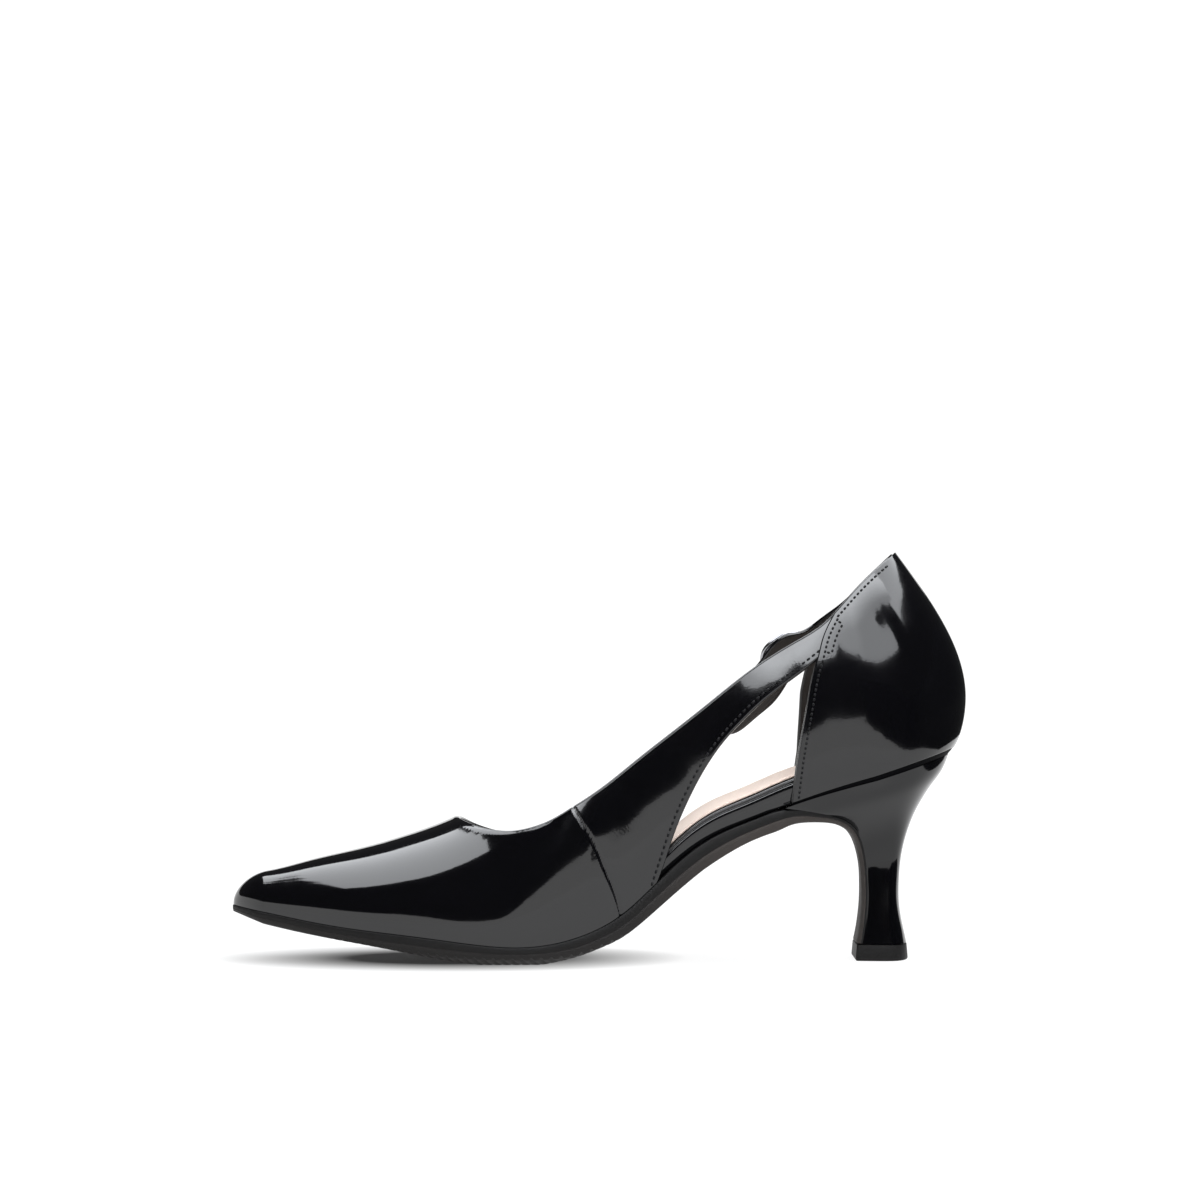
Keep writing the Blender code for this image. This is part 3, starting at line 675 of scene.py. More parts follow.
def make_patent(name, coat):
    look = {"IOR": 1.5, "Coat_Weight": coat, "Coat_Roughness": 0.015, "Coat_IOR": 1.5}
    bumps = ((90, 1, 0.00005), (1400, 1, 0.000003))
    mottle, gloss = (60, 2, 0.7, 1.4), (220, 3, 0.05, 0.11)
    return finish(name, PATENT_BLACK, 0.07, mottle, gloss, bumps, True, **look).material


def make_rubber(name, colour, roughness, mottle=(260, 4, 0.75, 1.3)):
    gloss = (700, 3, roughness - 0.08, roughness + 0.12)
    return finish(name, colour, roughness, mottle, gloss, ((2600, 3, 0.00006),), Specular_IOR_Level=0.2)


def make_sole_rubber():
    """Rubber of the bevel and bottom: dark under the ball, lighter and browner at the waist and flap. The
    brown is the rubber's own tone. The darker ball is painted shade, and the lighter waist is painted light
    from the floor.
    """
    surface = make_rubber("rubber_sole", RUBBER_GREY, 0.6, None)
    run = surface.node("SeparateXYZ")
    surface.links.new(surface.place, run.inputs["Vector"])
    # Painted light and shade: the colour turns from the darker ball tone to the lighter, browner waist tone
    # between x 12 mm and 45 mm
    share = surface.spread(run.outputs["X"], 0, 1, WAIST_LIGHT_FROM, WAIST_LIGHT_TO)
    surface.vary_colour(share, RUBBER_GREY, BROWN_LIT_WAIST_RUBBER)
    return surface.material


def make_suede():
    bumps = ((3200, 4, 0.00012), (500, 3, 0.0001))
    sheen = {"Sheen_Weight": 0.25, "Sheen_Roughness": 0.4}
    return finish("suede", SUEDE_BEIGE, 0.95, (900, 5, 0.86, 1.06), None, bumps, **sheen).material


def make_steel():
    # The edge tint paints a dark reflection along the ring's rims
    look = {"Metallic": 1.0, "Specular_Tint": STEEL_DARK_RIM_TINT}
    return finish("steel", STEEL_GREY, 0.14, None, (1500, 3, 0.1, 0.2), ((900, 2, 0.00001),), **look).material


patent = make_patent("patent", 0.45)
heel_patent = make_patent("heel_patent", 0.05)
lining = finish("lining", LINING_BROWN, 0.5, (400, 4, 0.7, 1.3), None, ((1800, 3, 0.00008),)).material
rubber_dark = make_rubber("rubber_dark", RUBBER_DARK, 0.5).material
rubber_sole = make_sole_rubber()
suede = make_suede()
steel = make_steel()
thread = make_rubber("thread", THREAD_BLACK, 0.45).material
turned = finish("turned_leather", PATENT_BLACK, 0.6, Specular_IOR_Level=0.04).material


# Upper and counter

SEAM_DEPTH = 0.42
SEAM_WIDTH = 0.42
# How far the skin is drawn in along the seam: (below topline, drawn in). It stands up at the top.
SEAM_PULL = ((4.0, -0.08), (9.0, -0.04), (14.0, 0.04), (20.0, 0.14))
SEAM_PULL_WIDTH = 2.6
ROLL_DEPTH = 0.34
ROLL_WIDTH = 1.7
ROLL_FROM, ROLL_TO = -17.0, -10.0
CELL = 0.9
SEAM_CELL = 0.3
SEAM_FROM, SEAM_TO = -15.0, 11.0
RING_COUNT = 201
TOE_RINGS = 30
HEEL_RINGS = 42
COUNTER_FROM = 56.0
COUNTER_CELL = 0.8 / 208
COUNTER_HEEL_RINGS = 46
COUNTER_OUTSIDE = GAP + COUNTER_THICKNESS
TURN_FRONT_X, TURN_BACK_X = 63.0, 117.0
TURN_FRONT, TURN_BACK = 1.0, 2.7
TURN_STEP = 0.2
TURN_DEPTH = 0.35
TOE_START = 0.015


# Waves of the pulled leather: (height, turn per x, turn per y, turn per z, start)
RIPPLES = (
    (0.014, 1 / 4.1, 0.0, 1 / 6.3, 0.0),
    (0.012, -1 / 7.9, 0.0, 1 / 3.3, 1.3),
    (0.011, 1 / 5.2, 1 / 5.2, -1 / 4.4, 2.1),
)


def ripple(points):
    """Slight unevenness of the pulled leather."""
    return sum(height * np.sin(points @ np.array(turns) + start) for height, *turns, start in RIPPLES)


def edge_roll(points, v):
    """Drop of the skin where it rolls over into the throat. It fades out along the strap."""
    depth = ROLL_DEPTH * np.clip((ROLL_TO - points[..., 0]) / (ROLL_TO - ROLL_FROM), 0, 1)
    return depth * np.clip(1 - below_topline(points, v) / ROLL_WIDTH, 0, 1) ** 2


def upper_outside(points, v):
    d = points[..., 0] - seam_x(points[..., 2])
    groove = SEAM_DEPTH * np.exp(-((d / SEAM_WIDTH) ** 2))
    pull = np.interp(below_topline(points, v), *np.transpose(SEAM_PULL))
    return ripple(points) - groove - pull * np.exp(-((d / SEAM_PULL_WIDTH) ** 2)) - edge_roll(points, v)


def level(value):
    """An offset that is the same all over."""
    return lambda points, v: np.full(points.shape[:-1], value)


def u_of_x(x):
    return 1 + (along_of(x) - TOE_CAP) / (HEEL_START - TOE_CAP)


def make_upper():
    start, end = x_of(TOE_CAP), x_of(HEEL_START)
    runs = ((start, SEAM_FROM, CELL), (SEAM_FROM, SEAM_TO, SEAM_CELL), (SEAM_TO, end, CELL))
    xs = np.concatenate([np.arange(*run) for run in runs])
    toe, heel = np.linspace(TOE_START, 1, TOE_RINGS)[:-1], np.linspace(2, 3, HEEL_RINGS)
    us = np.concatenate([toe, u_of_x(xs), heel])
    vs = np.linspace(-1, 1, RING_COUNT)
    fields = (below_topline, outside_window)
    points, faces, normals, kinds = shell(us, vs, fields, upper_outside, level(-WALL))
    slots = [1 if kind == 2 else 0 for kind in kinds]
    piece = add_mesh("upper_leather", points, faces, (patent, lining), normals, slots)
    return settle(piece, "patent", "upper")


def turn_height(x):
    """Height of the strip over the heel where the counter turns in. It grows towards the back."""
    return np.interp(x, (TURN_FRONT_X, TURN_BACK_X), (TURN_FRONT, TURN_BACK))


def above_turn(points, v):
    return above_seat(points, v) - turn_height(points[..., 0])


def below_turn(points, v):
    return -above_turn(points, v)


def counter_outside(points, v):
    return COUNTER_OUTSIDE + ripple(points)


def turned_edge(points, v):
    """The counter's outside on its turned-in strip, set back and slanting in towards the heel."""
    share = np.clip(above_seat(points, v) / turn_height(points[..., 0]), 0, 1)
    return COUNTER_OUTSIDE - TURN_STEP - TURN_DEPTH * (1 - share)


def make_counter():
    front = u_of_x(COUNTER_FROM)
    us = np.concatenate([np.arange(front, 2, COUNTER_CELL), np.linspace(2, 3, COUNTER_HEEL_RINGS)])
    vs = np.linspace(-1, 1, RING_COUNT)
    main = shell(us, vs, (below_topline, behind_front, above_turn), counter_outside, level(GAP))
    strip = shell(us, vs, (behind_front, above_seat, below_turn), turned_edge, level(GAP))
    points = np.concatenate([main[0], strip[0]])
    normals = np.concatenate([main[2], strip[2]])
    faces = list(main[1]) + [[i + len(main[0]) for i in face] for face in strip[1]]
    slots = [0] * len(main[1]) + [1] * len(strip[1])
    piece = add_mesh("counter_leather", points, faces, (patent, turned), normals, slots)
    return settle(piece, "patent", "counter")


make_upper()
make_counter()


# Outsole, with its flap down the heel breast

TREAD_FROM, TREAD_TO = -90.0, 9.0
TREAD_PITCH = 3.1
TREAD_DEPTH = 0.8
TREAD_SLANT = 0.22
TREAD_HALF = 0.2
TREAD_EDGE = 1.6
TREAD_FADE = 4.0
TREAD_CELL = 0.38
SOLE_CELL = 1.0
BAND_GROOVE = 0.22
# Rows of the sole's upper band that take the darker rubber as painted shade
SHADE_ROWS_AT_TOP = 5
FLAP_START = 70.0
FLAP_MIDDLE = 71.5
FLAP_FINENESS = 7
BOTTOM_SHARES = np.linspace(0.12, 1, 9)
TOE_STATIONS = np.linspace(0.12, math.pi / 2, 16)[:-1]


def sole_profile(half, rim, keel):
    """Half a section of the outsole from its top edge to its middle: rows of (out, depth, share of tread)."""
    band = rim * 0.5
    bevel = half - SOLE_BEVEL
    flat = half * SOLE_FLAT
    rows = [
        (half - 0.5, 0.0, 0),
        (half - 0.15, 0.06, 0),
        (half, 0.3, 0),
        (half + 0.05, band * 0.6, 0),
        (half, band - 0.12, 0),
        (half - BAND_GROOVE, band, 0),
        (half - 0.06, band + 0.14, 0),
        (half - 0.30, band + (rim - band) * 0.35, 0),
        (half - 0.80, band + (rim - band) * 0.72, 0.25),
        (bevel + 0.1, rim - 0.12, 0.9),
        (bevel - 0.25, rim + 0.05, 1),
    ]
    for w in BOTTOM_SHARES:
        rows.append((bevel * (1 - w) + flat * w, rim + (keel - rim) * (1 - (1 - w) ** 2), 1))
    rows.append((flat * 0.5, keel, 1))
    return rows


def tread_at(x, y):
    """Depth share of the fine cross grooves at a place on the sole."""
    phase = ((x + TREAD_SLANT * abs(y)) / TREAD_PITCH) % 1.0
    groove = max(0.0, 1 - abs(phase - 0.5) / TREAD_HALF)
    fade = max(0.0, min(1.0, (x - TREAD_FROM) / TREAD_FADE, (TREAD_TO - x) / TREAD_FADE))
    return min(1.0, groove * TREAD_EDGE) * fade


SoleRow = namedtuple("SoleRow", ("x", "z", "down_x", "down_z", "half", "swing", "rim", "keel"))


def sole_row(along):
    x = x_of(along)
    top = float(seat_floor(x)) - GAP
    nose = SOLE_NOSE + (1 - SOLE_NOSE) * min(1.0, along / TOE_CAP)
    tilt = SOLE_WAIST_TILT * max(0.0, (along - SOLE_WAIST_START) / (SOLE_WAIST_END - SOLE_WAIST_START))
    scale = nose * math.cos(tilt)
    rim = (top - float(sole["rim"](along))) * scale
    keel = (top - max(0.0, float(sole["keel"](along)))) * scale
    half = float(plan_half(x, -SOLE_LIP))
    return SoleRow(x, top, math.sin(tilt), -math.cos(tilt), half, float(swing_at(x)), rim, keel)


def flap_row(i):
    before, row, after = HEEL[i - 1], HEEL[i], HEEL[min(i + 1, len(HEEL) - 1)]
    run_x, run_z = after.front_x - before.front_x, after.front_z - before.front_z
    size = math.hypot(run_x, run_z)
    away_x, away_z = run_z / size, -run_x / size
    half = row.half * row.corner
    place = (row.front_x - away_x * FLAP_SINK, row.front_z - away_z * FLAP_SINK)
    more = FLAP_SINK + GAP
    return SoleRow(*place, away_x, away_z, half, 0.0, row.sole * FLAP_RIM + more, row.sole + more)


def make_outsole():
    stations = [TOE_CAP * (1 - math.cos(a)) for a in TOE_STATIONS]
    start, end = x_of(TOE_CAP), x_of(FLAP_START)
    runs = ((start, TREAD_FROM, SOLE_CELL), (TREAD_FROM, TREAD_TO, TREAD_CELL), (TREAD_TO, end, SOLE_CELL))
    stations += [float(along_of(x)) for run in runs for x in np.arange(*run)]
    rows = [sole_row(along) for along in stations]
    joint = [sole_row(along) for along in (FLAP_START, FLAP_MIDDLE, SOLE_WAIST_END)]
    joint += [flap_row(i) for i in range(1, len(HEEL))]
    rows += [SoleRow(*values) for values in resampled(joint, FLAP_FINENESS)]
    points = []
    for row in rows:
        outline = sole_profile(row.half, row.rim, row.keel)
        sides = [(row.swing + out, depth, tread) for out, depth, tread in outline]
        sides += [(row.swing - out, depth, tread) for out, depth, tread in outline[::-1]]
        for y, depth, tread in sides:
            depth -= tread * TREAD_DEPTH * tread_at(row.x, y)
            points.append((row.x + row.down_x * depth, y, row.z + row.down_z * depth))
    count = len(sides)
    faces = grid_faces(len(rows), count)
    # Painted shade: the upper band of the sole's edge, above its groove, takes the darker rubber
    kinds = [0 if min(f[0] % count, count - 1 - f[0] % count) < SHADE_ROWS_AT_TOP else 1 for f in faces]
    ends = end_caps(len(rows), count)
    kinds += [1] * len(ends)
    piece = add_mesh("outsole_rubber", points, faces + ends, (rubber_dark, rubber_sole), None, kinds)
    return settle(piece, "rubber", "outsole")


make_outsole()


# Heel and top piece

HEEL_TURN = 40
HEEL_CREASE = math.radians(50)
HEEL_CORNER = 0.025
HEEL_CORNER_ROUND = 0.4
HEEL_CORNER_STEPS = 5
HEEL_FINENESS = 8
# Sections of the top piece: (height, flare)
TIP_LEVELS = (
    (5.3, -0.25), (5.2, 0.02), (4.9, 0.12), (2.8, 0.3), (0.7, 0.48), (0.3, 0.42), (0.06, 0.22), (0.0, 0.0),
)


def heel_section(front, back, half, corner, power):
    """A section with a flat front and a round back, on the line from front to back."""
    loop = []
    for a in np.linspace(0, math.pi / 2, HEEL_CORNER_STEPS, endpoint=False):
        loop.append((HEEL_CORNER * (1 - math.cos(a)), half * corner - HEEL_CORNER_ROUND * (1 - math.sin(a))))
    for i in range(HEEL_TURN + 1):
        c = HEEL_CORNER + (1 - HEEL_CORNER) * math.sin(i / HEEL_TURN * math.pi / 2)
        swell = corner + (1 - corner) * math.sin(min(1.0, c / HEEL_WIDEST) * math.pi / 2)
        rear = max(0.0, (c - HEEL_WIDEST) / (1 - HEEL_WIDEST))
        loop.append((c, half * swell * math.sqrt(max(0.0, 1 - rear**power))))
    loop += [(c, -width) for c, width in loop[-2::-1]]
    span = (back[0] - front[0], back[1] - front[1])
    return [(front[0] + span[0] * c, y, front[1] + span[1] * c) for c, y in loop]


def make_heel():
    loops = []
    for row in HEEL:
        front, back = (row.front_x, row.front_z), (row.back_x, row.back_z)
        loops.append(heel_section(front, back, row.half, row.corner, row.power))
    loops[0] = [
        (x, math.copysign(float(plan_half(x, -HEEL_LIP)), y), float(seat_floor(x)) - GAP)
        for x, y, _ in loops[0]
    ]
    rows = resampled(loops, HEEL_FINENESS)
    count = rows.shape[1]
    faces = grid_faces(len(rows), count) + end_caps(len(rows), count)
    piece = add_mesh("heel_wrap", rows.reshape(-1, 3), faces, (heel_patent,), crease=HEEL_CREASE)
    return settle(piece, "patent", "heel")


def make_top_piece():
    foot = HEEL[-1]
    loops = []
    for z, flare in TIP_LEVELS:
        front = (foot.front_x - foot.sole - flare, z)
        back = (foot.back_x + flare, z)
        loops.append(heel_section(front, back, foot.half + flare, foot.corner, foot.power))
    count = len(loops[0])
    faces = grid_faces(len(loops), count) + end_caps(len(loops), count)
    piece = add_mesh("heel_tip", np.array(loops).reshape(-1, 3), faces, (rubber_dark,), crease=HEEL_CREASE)
    return settle(piece, "rubber", "top_piece")


make_heel()
make_top_piece()


# Insole, its patent rim showing in the windows, and the sock on it

SLAB_STATIONS = 260
SLAB_NARROW = 6.0


def slab(name, front, inset, low, high, profile, material):
    """A pad that fills the feather outline. profile gives rows of (drawn in, part of height, drop)."""
    rear = SEAT_BACK - inset
    part = 0.5 - 0.5 * np.cos(np.linspace(0, math.pi, SLAB_STATIONS + 1)[1:-1])
    points = []
    for x in front + (rear - front) * part:
        nose = min(1.0, (x - front) / SLAB_NOSE)
        half = float(plan_half(x, inset)) * math.sqrt(1 - (1 - nose) ** 2)
        bottom, top = float(seat_floor(x)) + low(x), float(seat_floor(x)) + high(x)
        y = float(swing_at(x))
        shrink = min(1.0, half / SLAB_NARROW)
        side = [
            (half - inward * shrink, bottom + (top - bottom) * share - drop * shrink)
            for inward, share, drop in profile
        ]
        points += [(x, y + out, z) for out, z in side]
        points += [(x, y - out, z) for out, z in side[::-1]]
    count = 2 * len(profile)
    rows = len(points) // count
    return add_mesh(name, points, grid_faces(rows, count) + end_caps(rows, count), (material,))


def board_top(x):
    return float(board(along_of(x)))


RIM_PROFILE = (
    (1.2, 0.0, 0.0), (0.25, 0.0, -0.1), (0.0, 0.1, 0.0), (-0.1, 0.45, 0.0), (-0.05, 1.0, 2.1),
    (0.1, 1.0, 1.55), (0.42, 1.0, 1.3), (0.12, 1.0, 1.05), (0.02, 1.0, 0.7), (0.14, 1.0, 0.3),
    (0.45, 1.0, 0.06), (0.9, 1.0, 0.0), (2.2, 1.0, 0.0), (6.0, 1.0, 0.0),
)
SOCK_PROFILE = (
    (0.6, 0.0, 0.0), (0.1, 0.1, 0.0), (0.0, 0.45, 0.0), (0.1, 0.8, 0.0), (0.4, 1.0, 0.05),
    (1.2, 1.0, 0.0), (3.0, 1.0, 0.0), (6.0, 1.0, 0.0),
)


def make_footbed():
    rim = slab("insole_rim", BOARD_FRONT, BOARD_INSET, lambda x: 0.0, board_top, RIM_PROFILE, patent)
    settle(rim, "patent", "insole")
    sock = slab(
        "sock_pad",
        SOCK_FRONT,
        SOCK_INSET,
        lambda x: board_top(x) + GAP,
        lambda x: board_top(x) + GAP + SOCK_THICKNESS,
        SOCK_PROFILE,
        suede,
    )
    settle(sock, "suede", "sock")


make_footbed()


# Buckle on the outer strap

PLACE_STEPS = 400
RING_STEPS = 16
PRONG_STEPS = 40
PRONG_FLATTEN = 0.8


def unit(vector):
    return vector / np.linalg.norm(vector)


def strap_place():
    """Place on the outer strap's face at the buckle: along the strap, across it, and out of it."""
    us, vs = np.linspace(1.6, 2, PLACE_STEPS), np.linspace(0.01, 0.99, PLACE_STEPS)
    us, vs = np.meshgrid(us, vs, indexing="ij")
    points = skin_base(us, vs)
    miss = np.hypot(points[..., 0] - BUCKLE_X, points[..., 2] - BUCKLE_Z)
    best = np.unravel_index(np.argmin(miss), miss.shape)
    out = normals_of(skin_base, us[best], vs[best])
    direction = np.array((math.cos(BUCKLE_SLOPE), 0, math.sin(BUCKLE_SLOPE)))
    direction = unit(direction - direction.dot(out) * out)
    across = np.cross(out, direction)
    return points[best], direction, across if across[2] > 0 else -across, out


def tube(path, radius, closed, up, flatten=1.0, count=14):
    """A round or flattened bar along a path, with rounded ends where it is open."""
    path = np.asarray(path, float)
    if closed:
        runs = np.roll(path, -1, axis=0) - np.roll(path, 1, axis=0)
    else:
        runs = np.gradient(path, axis=0)
    sizes = np.ones(len(path))
    if not closed:
        distance = np.concatenate([[0], np.cumsum(np.linalg.norm(np.diff(path, axis=0), axis=1))])
        end = np.minimum(distance, distance[-1] - distance) / radius
        sizes = np.sqrt(np.maximum(0.02, 1 - np.maximum(0, 1 - end) ** 2))
    points = []
    for place, run, size in zip(path, runs, sizes):
        side = unit(np.cross(unit(run), up))
        for a in np.linspace(0, 2 * math.pi, count, endpoint=False):
            points.append(place + radius * size * (side * math.cos(a) + up * math.sin(a) * flatten))
    rows = len(path)
    if closed:
        points += points[:count]
        rows += 1
    faces = [f[::-1] for f in grid_faces(rows, count)]
    if closed:
        ring = len(path) * count
        return points[:ring], [[i % ring for i in f] for f in faces]
    return points, faces + cap_faces(0, count, False) + cap_faces((rows - 1) * count, count, True)


def make_buckle():
    here, direction, across, out = strap_place()
    middle = here + out * BUCKLE_LIFT
    ring = []
    for quarter in range(4):
        sign_a = 1 if quarter in (0, 3) else -1
        sign_b = 1 if quarter in (0, 1) else -1
        corner_a = sign_a * (BUCKLE_LENGTH / 2 - BUCKLE_CORNER)
        corner_b = sign_b * (BUCKLE_HEIGHT / 2 - BUCKLE_CORNER)
        for angle in np.linspace(quarter, quarter + 1, RING_STEPS, endpoint=False) * math.pi / 2:
            a = corner_a + BUCKLE_CORNER * math.cos(angle)
            b = corner_b + BUCKLE_CORNER * math.sin(angle)
            ring.append(middle + direction * a + across * b)
    points, faces = tube(ring, BUCKLE_WIRE, True, out)
    settle(add_mesh("buckle_ring", points, faces, (steel,)), "steel", "buckle_frame")
    lift = middle + out * (BUCKLE_WIRE + PRONG_WIRE)
    reach = BUCKLE_LENGTH / 2 + PRONG_WIRE
    path = [lift + direction * a for a in np.linspace(-reach, reach, PRONG_STEPS)]
    points, faces = tube(path, PRONG_WIRE, False, out, PRONG_FLATTEN)
    settle(add_mesh("buckle_tongue", points, faces, (steel,)), "steel", "buckle_prong")


make_buckle()


# Stitches

STITCH_SHARE = 0.68
STRAP_PITCH = 2.1
COUNTER_PITCH = 1.6
STITCH_RADIUS = 0.36
STITCH_SINK = 0.02
STITCH_BOW = 0.12
STITCH_MISS = 0.15
STITCH_POINTS = 9
STITCH_SIDES = 8
FIND_STEP = 1e-4
FIND_REACH = 0.02
FIND_TURNS = 4
INSIDE = 1e-6

scan_u, scan_v = np.meshgrid(np.linspace(1.2, 3, 360), np.linspace(0, 1, 160), indexing="ij")
scan_points = {1: skin_base(scan_u, scan_v), -1: skin_base(scan_u, -scan_v - TINY)}


def skin_place(x, z, side):
    """The u and v of the skin at a place in the side view."""
    grid = scan_points[side]
    miss = (grid[..., 0] - x) ** 2 + (grid[..., 2] - z) ** 2
    best = np.unravel_index(np.argmin(miss), miss.shape)
    u, v = scan_u[best], side * max(INSIDE, scan_v[best])
    step = FIND_STEP
    for _ in range(FIND_TURNS):
        here = skin_base(np.array([u, u + step, u]), np.array([v, v, v + step]))[:, [0, 2]]
        slope = np.stack([here[1] - here[0], here[2] - here[0]], axis=1) / step
        move = np.linalg.lstsq(slope, np.array([x, z]) - here[0], rcond=None)[0]
        move = np.clip(move, -FIND_REACH, FIND_REACH)
        u = float(np.clip(u + move[0], 0.01, 3))
        v = float(side * np.clip(side * (v + move[1]), INSIDE, 1))
    miss = skin_base(np.array([u]), np.array([v]))[0, [0, 2]] - (x, z)
    return (u, v) if np.hypot(*miss) < STITCH_MISS else None


def stitch_row(line, side, height, pitch):
    """Ends and normals of stitches along a line of (x, z) on one side of the shoe."""
    line = np.asarray(line, float)
    distance = np.concatenate([[0], np.cumsum(np.linalg.norm(np.diff(line, axis=0), axis=1))])
    count = round(distance[-1] / pitch)
    wanted = (np.arange(count) + 0.5) * distance[-1] / count
    stitches = []
    for d in wanted:
        ends = []
        for e in (d - STITCH_SHARE * pitch / 2, d + STITCH_SHARE * pitch / 2):
            x, z = np.interp(e, distance, line[:, 0]), np.interp(e, distance, line[:, 1])
            found = skin_place(x, z, side)
            if found:
                u, v = np.array(found)[:, None]
                normal = normals_of(skin_base, u, v)[0]
                ends.append((skin_base(u, v)[0] + normal * height, normal))
        if len(ends) == 2 and np.linalg.norm(ends[1][0] - ends[0][0]) < pitch:
            stitches.append((ends[0][0], ends[1][0], unit(ends[0][1] + ends[1][1])))
    return stitches


def make_stitches(name, stitches):
    points, faces = [], []
    for start, end, normal in stitches:
        path = []
        for s in np.linspace(0, 1, STITCH_POINTS):
            lift = STITCH_BOW * math.sin(math.pi * s) - STITCH_SINK
            path.append(start + (end - start) * s + normal * lift)
        more, quads = tube(path, STITCH_RADIUS, False, normal, 1.0, STITCH_SIDES)
        faces += [[i + len(points) for i in q] for q in quads]
        points += more
    return settle(add_mesh(name, points, faces, (thread,)), "patent")


STRAP_STITCH_INSET = 1.2
COUNTER_STITCH_INSET = 1.5
TOPLINE_STITCH_INSET = 1.2
BOX_ROW_GAP = 2.2
# Where each row runs, by x or by height, and how finely
STRAP_XS = np.linspace(17.8, 73.0, 94)
FRONT_ZS = np.linspace(54.5, 114.0, 60)
BOX_ZS = np.linspace(102.5, 113.0, 20)
TOPLINE_XS = np.linspace(76.6, 95.0, 44)


def side_line(line, inset):
    """A line of (x, z) moved sideways, to the left of its run, by inset."""
    line = np.asarray(line, float)
    run = np.gradient(line, axis=0)
    run /= np.linalg.norm(run, axis=1, keepdims=True)
    return line + np.stack([-run[:, 1], run[:, 0]], axis=1) * inset


def make_all_stitches():
    strap, counter = [], []
    for side in (-1, 1):
        edge = np.stack([STRAP_XS, strap_edge_z(STRAP_XS) - strap_drop(STRAP_XS, side)], axis=1)
        strap += stitch_row(side_line(edge, STRAP_STITCH_INSET), side, 0.0, STRAP_PITCH)
        front = np.stack([counter_front(FRONT_ZS, side), FRONT_ZS], axis=1)
        counter += stitch_row(side_line(front, -COUNTER_STITCH_INSET), side, COUNTER_OUTSIDE, COUNTER_PITCH)
        box = np.stack([counter_front(BOX_ZS, side), BOX_ZS], axis=1)
        near, far = (side_line(box, -COUNTER_STITCH_INSET - gap) for gap in (0, BOX_ROW_GAP))
        for row in (far, (near[0], far[0]), (near[-1], far[-1])):
            counter += stitch_row(row, side, COUNTER_OUTSIDE, COUNTER_PITCH)
        rise = outer_rise(TOPLINE_XS) if side > 0 else 0
        top = np.stack([TOPLINE_XS, topline_z(TOPLINE_XS) + rise], axis=1)
        counter += stitch_row(side_line(top, -TOPLINE_STITCH_INSET), side, COUNTER_OUTSIDE, COUNTER_PITCH)
    make_stitches("strap_stitches", strap)
    make_stitches("counter_stitches", counter)


make_all_stitches()


# Stage: a round white floor with a painted contact shadow and a low wall, soft boxes overhead and in front,
# and a dark card

CAMERA_DISTANCE = 1.130
CAMERA_HEIGHT = 0.1193
CAMERA_LENS = 101.7
CAMERA_SENSOR = 36.0
FLOOR_RADIUS = 3.5
FLOOR_RINGS = (0.02, 0.3, 0.6, 1.0, 1.6, 2.4, FLOOR_RADIUS)
# Glow of the floor round a place under the shoe, held low under the ball as a painted contact shadow: (shift,
# squash, reach, amount)
PAINTED_SHADOW_AND_GLOW = (
    (0.0275, 0.55, (0.018, 0.044), (0.03, 0.92)),
    (0.0, 1.0, (0.25, 1.6), (0.0, 0.14)),
)
WORLD_STRENGTH = 0.035
# Wall round the floor: (angle from the camera's side towards the heel's side, height)
WALL_TABLE = (
    (-180, 1.00), (-140, 1.00), (-115, 0.80), (-30, 0.80), (-25, 0.62), (-20, 0.42), (-15, 0.26),
    (-10, 0.14), (-7, 0.25), (-3, 0.48), (5, 0.52), (16, 0.52), (21, 0.44), (26, 0.48),
    (27.5, 0.45), (29, 0.29), (40, 0.30), (60, 0.30), (120, 0.30), (145, 1.00), (180, 1.00),
)
# Soft boxes overhead, as rectangles at one height: (name, x0, x1, y0, y1, radiance)
SOFT_BOX_COLOUR = (0.94, 0.965, 1.0)
CEILING_HEIGHT = 1.1
CEILING = (
    ("ceiling_left", -0.735, -0.45, -0.40, -0.05, 4.1),
    ("ceiling_left_2", -0.705, -0.45, -0.05, 0.20, 4.1),
    ("ceiling_left_3", -0.670, -0.45, 0.20, 0.42, 4.1),
    ("ceiling_left_4", -0.645, -0.45, 0.42, 0.90, 4.1),
    ("ceiling_middle", -0.45, 0.65, -0.45, 0.85, 4.7),
    ("ceiling_front", -0.05, 0.65, -1.77, -0.45, 4.5),
    ("ceiling_right", 0.65, 1.39, -0.95, 0.85, 4.5),
)
# Outline (x, z) of a glowing panel in front of the shoe, upright, with a notch cut in from the heel's side
PANEL_Y = -0.47
PANEL = (
    (-0.026, 0.250), (0.030, 0.250), (0.068, 0.258), (0.086, 0.284), (0.104, 0.268), (0.135, 0.254),
    (0.175, 0.256), (0.225, 0.263), (0.270, 0.277), (0.318, 0.297), (0.366, 0.318), (0.400, 0.337),
    (0.440, 0.358), (0.470, 0.392), (0.452, 0.424), (0.412, 0.424), (0.380, 0.404), (0.345, 0.389),
    (0.312, 0.382), (0.300, 0.391), (0.318, 0.410), (0.350, 0.434), (0.385, 0.450), (0.450, 0.500),
    (0.560, 0.552), (0.750, 0.690), (0.740, 0.780), (0.160, 0.600), (0.020, 0.460), (-0.072, 0.400),
    (-0.072, 0.296), (-0.060, 0.276),
)
# Its glow falls along two slopes, of which the brighter counts: (across, up, from, to, start, end)
PANEL_GLOW = (
    (1.0, 0.0, -0.06, 0.16, 5.8, 3.2),
    (1.0, -1.56, -0.484, -0.334, 8.4, 2.2),
)
# Lower edge (x, y, z) of a dark card beyond the heel: it stands on the floor behind and floats in front
CARD_BLACK = (0.004, 0.004, 0.004)
CARD_TOP = 0.2
CARD = (
    (0.24, 0.35, 0.035), (0.28, 0.14, 0.014), (0.29, 0.03, 0.0), (0.414, -0.18, 0.008),
    (0.484, -0.48, 0.023), (0.253, -0.39, 0.078), (0.215, -0.403, 0.087), (0.19, -0.412, 0.099),
    (0.152, -0.42, 0.105), (0.111, -0.424, 0.119),
)


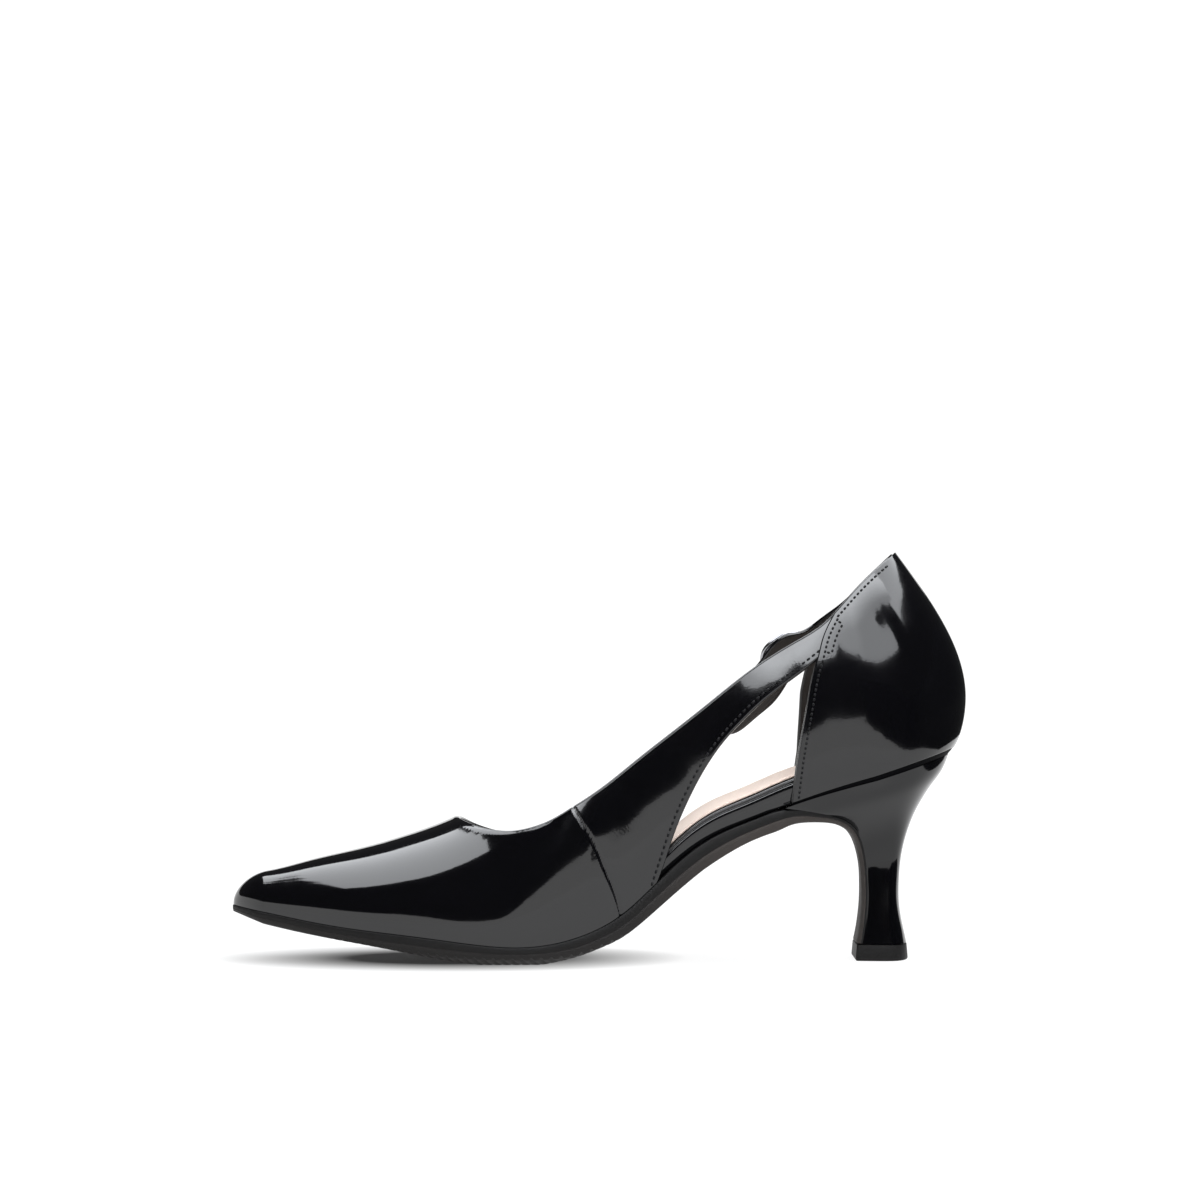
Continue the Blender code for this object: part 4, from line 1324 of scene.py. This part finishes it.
def floor_material():
    """White, with a glow that grows away from the shoe, so that it stays white beyond the soft boxes. The low
    glow under the ball is a painted contact shadow.
    """
    surface = Surface("floor", FLOOR_WHITE, 0.9)
    surface.vary_roughness(surface.noise(12), 0.85, 0.95)
    glow = None
    for shift, squash, reach, amount in PAINTED_SHADOW_AND_GLOW:
        place = surface.node("Mapping", Location=(shift, 0, 0), Scale=(squash, 1, 1))
        surface.links.new(surface.place, place.inputs["Vector"])
        far = surface.node("VectorMath")
        far.operation = "LENGTH"
        surface.links.new(place.outputs["Vector"], far.inputs[0])
        more = surface.spread(far.outputs["Value"], *amount, *reach)
        glow = surface.join("ADD", glow, more) if glow else more
    return surface.shine((1, 1, 1), glow)


def make_floor():
    angles, heights = np.array(WALL_TABLE, float).T
    turns = np.arange(-180, 180, 1)
    rows = [(radius, np.zeros(len(turns))) for radius in FLOOR_RINGS]
    rows.append((FLOOR_RADIUS, np.interp(turns, angles, heights)))
    points = []
    for radius, levels in rows:
        for turn, z in zip(np.radians(turns), levels):
            points.append(np.array((radius * math.sin(turn), -radius * math.cos(turn), z)) / MM)
    count = len(turns)
    faces = grid_faces(len(rows), count) + [list(range(count - 1, -1, -1))]
    add_mesh("floor", points, faces, (floor_material(),))


def make_soft_box(name, x0, x1, y0, y1, radiance):
    """A level sheet of light that shines down."""
    light = bpy.data.lights.new(name, "AREA")
    light.shape = "RECTANGLE"
    light.size, light.size_y = x1 - x0, y1 - y0
    light.energy = radiance * math.pi * light.size * light.size_y
    light.color = SOFT_BOX_COLOUR
    lamp = bpy.data.objects.new(name, light)
    bpy.context.scene.collection.objects.link(lamp)
    lamp.location = ((x0 + x1) / 2, (y0 + y1) / 2, CEILING_HEIGHT)
    lamp.visible_camera = False


def panel_material():
    surface = Surface("panel", (0, 0, 0), 1.0)
    glow = None
    for across, up, first, last, start, end in PANEL_GLOW:
        slope = surface.node("VectorMath")
        slope.operation = "DOT_PRODUCT"
        slope.inputs[1].default_value = (across, 0, up)
        surface.links.new(surface.place, slope.inputs[0])
        more = surface.spread(slope.outputs["Value"], start, end, first, last)
        glow = surface.join("MAXIMUM", glow, more) if glow else more
    return surface.shine(SOFT_BOX_COLOUR, glow)


def make_panel():
    points = [(x, PANEL_Y, z) for x, z in PANEL]
    panel = add_mesh("panel", np.array(points) / MM, [list(range(len(PANEL)))], (panel_material(),))
    panel.visible_camera = False


def make_card():
    """A dark card beyond the heel that only shows in reflections."""
    surface = Surface("card", CARD_BLACK, 0.9)
    points = [(x, y, z) for x, y, z in CARD] + [(x, y, CARD_TOP) for x, y, z in CARD]
    count = len(CARD)
    faces = [[i, i + 1, count + i + 1, count + i] for i in range(count - 1)]
    card = add_mesh("card", np.array(points) / MM, faces, (surface.material,))
    card.visible_camera = False
    card.visible_diffuse = False
    card.visible_shadow = False


make_floor()
for box in CEILING:
    make_soft_box(*box)
make_panel()
make_card()
world = bpy.data.worlds.new("studio")
world.use_nodes = True
world.node_tree.nodes["Background"].inputs["Color"].default_value = (1, 1, 1, 1)
world.node_tree.nodes["Background"].inputs["Strength"].default_value = WORLD_STRENGTH
bpy.context.scene.world = world
bpy.context.scene.view_settings.view_transform = "Standard"

camera = bpy.data.objects.new("camera", bpy.data.cameras.new("camera"))
bpy.context.scene.collection.objects.link(camera)
camera.data.lens = CAMERA_LENS
camera.data.sensor_width = CAMERA_SENSOR
camera.location = (0, -CAMERA_DISTANCE, CAMERA_HEIGHT)
camera.rotation_euler = (math.pi / 2, 0, 0)
bpy.context.scene.camera = camera
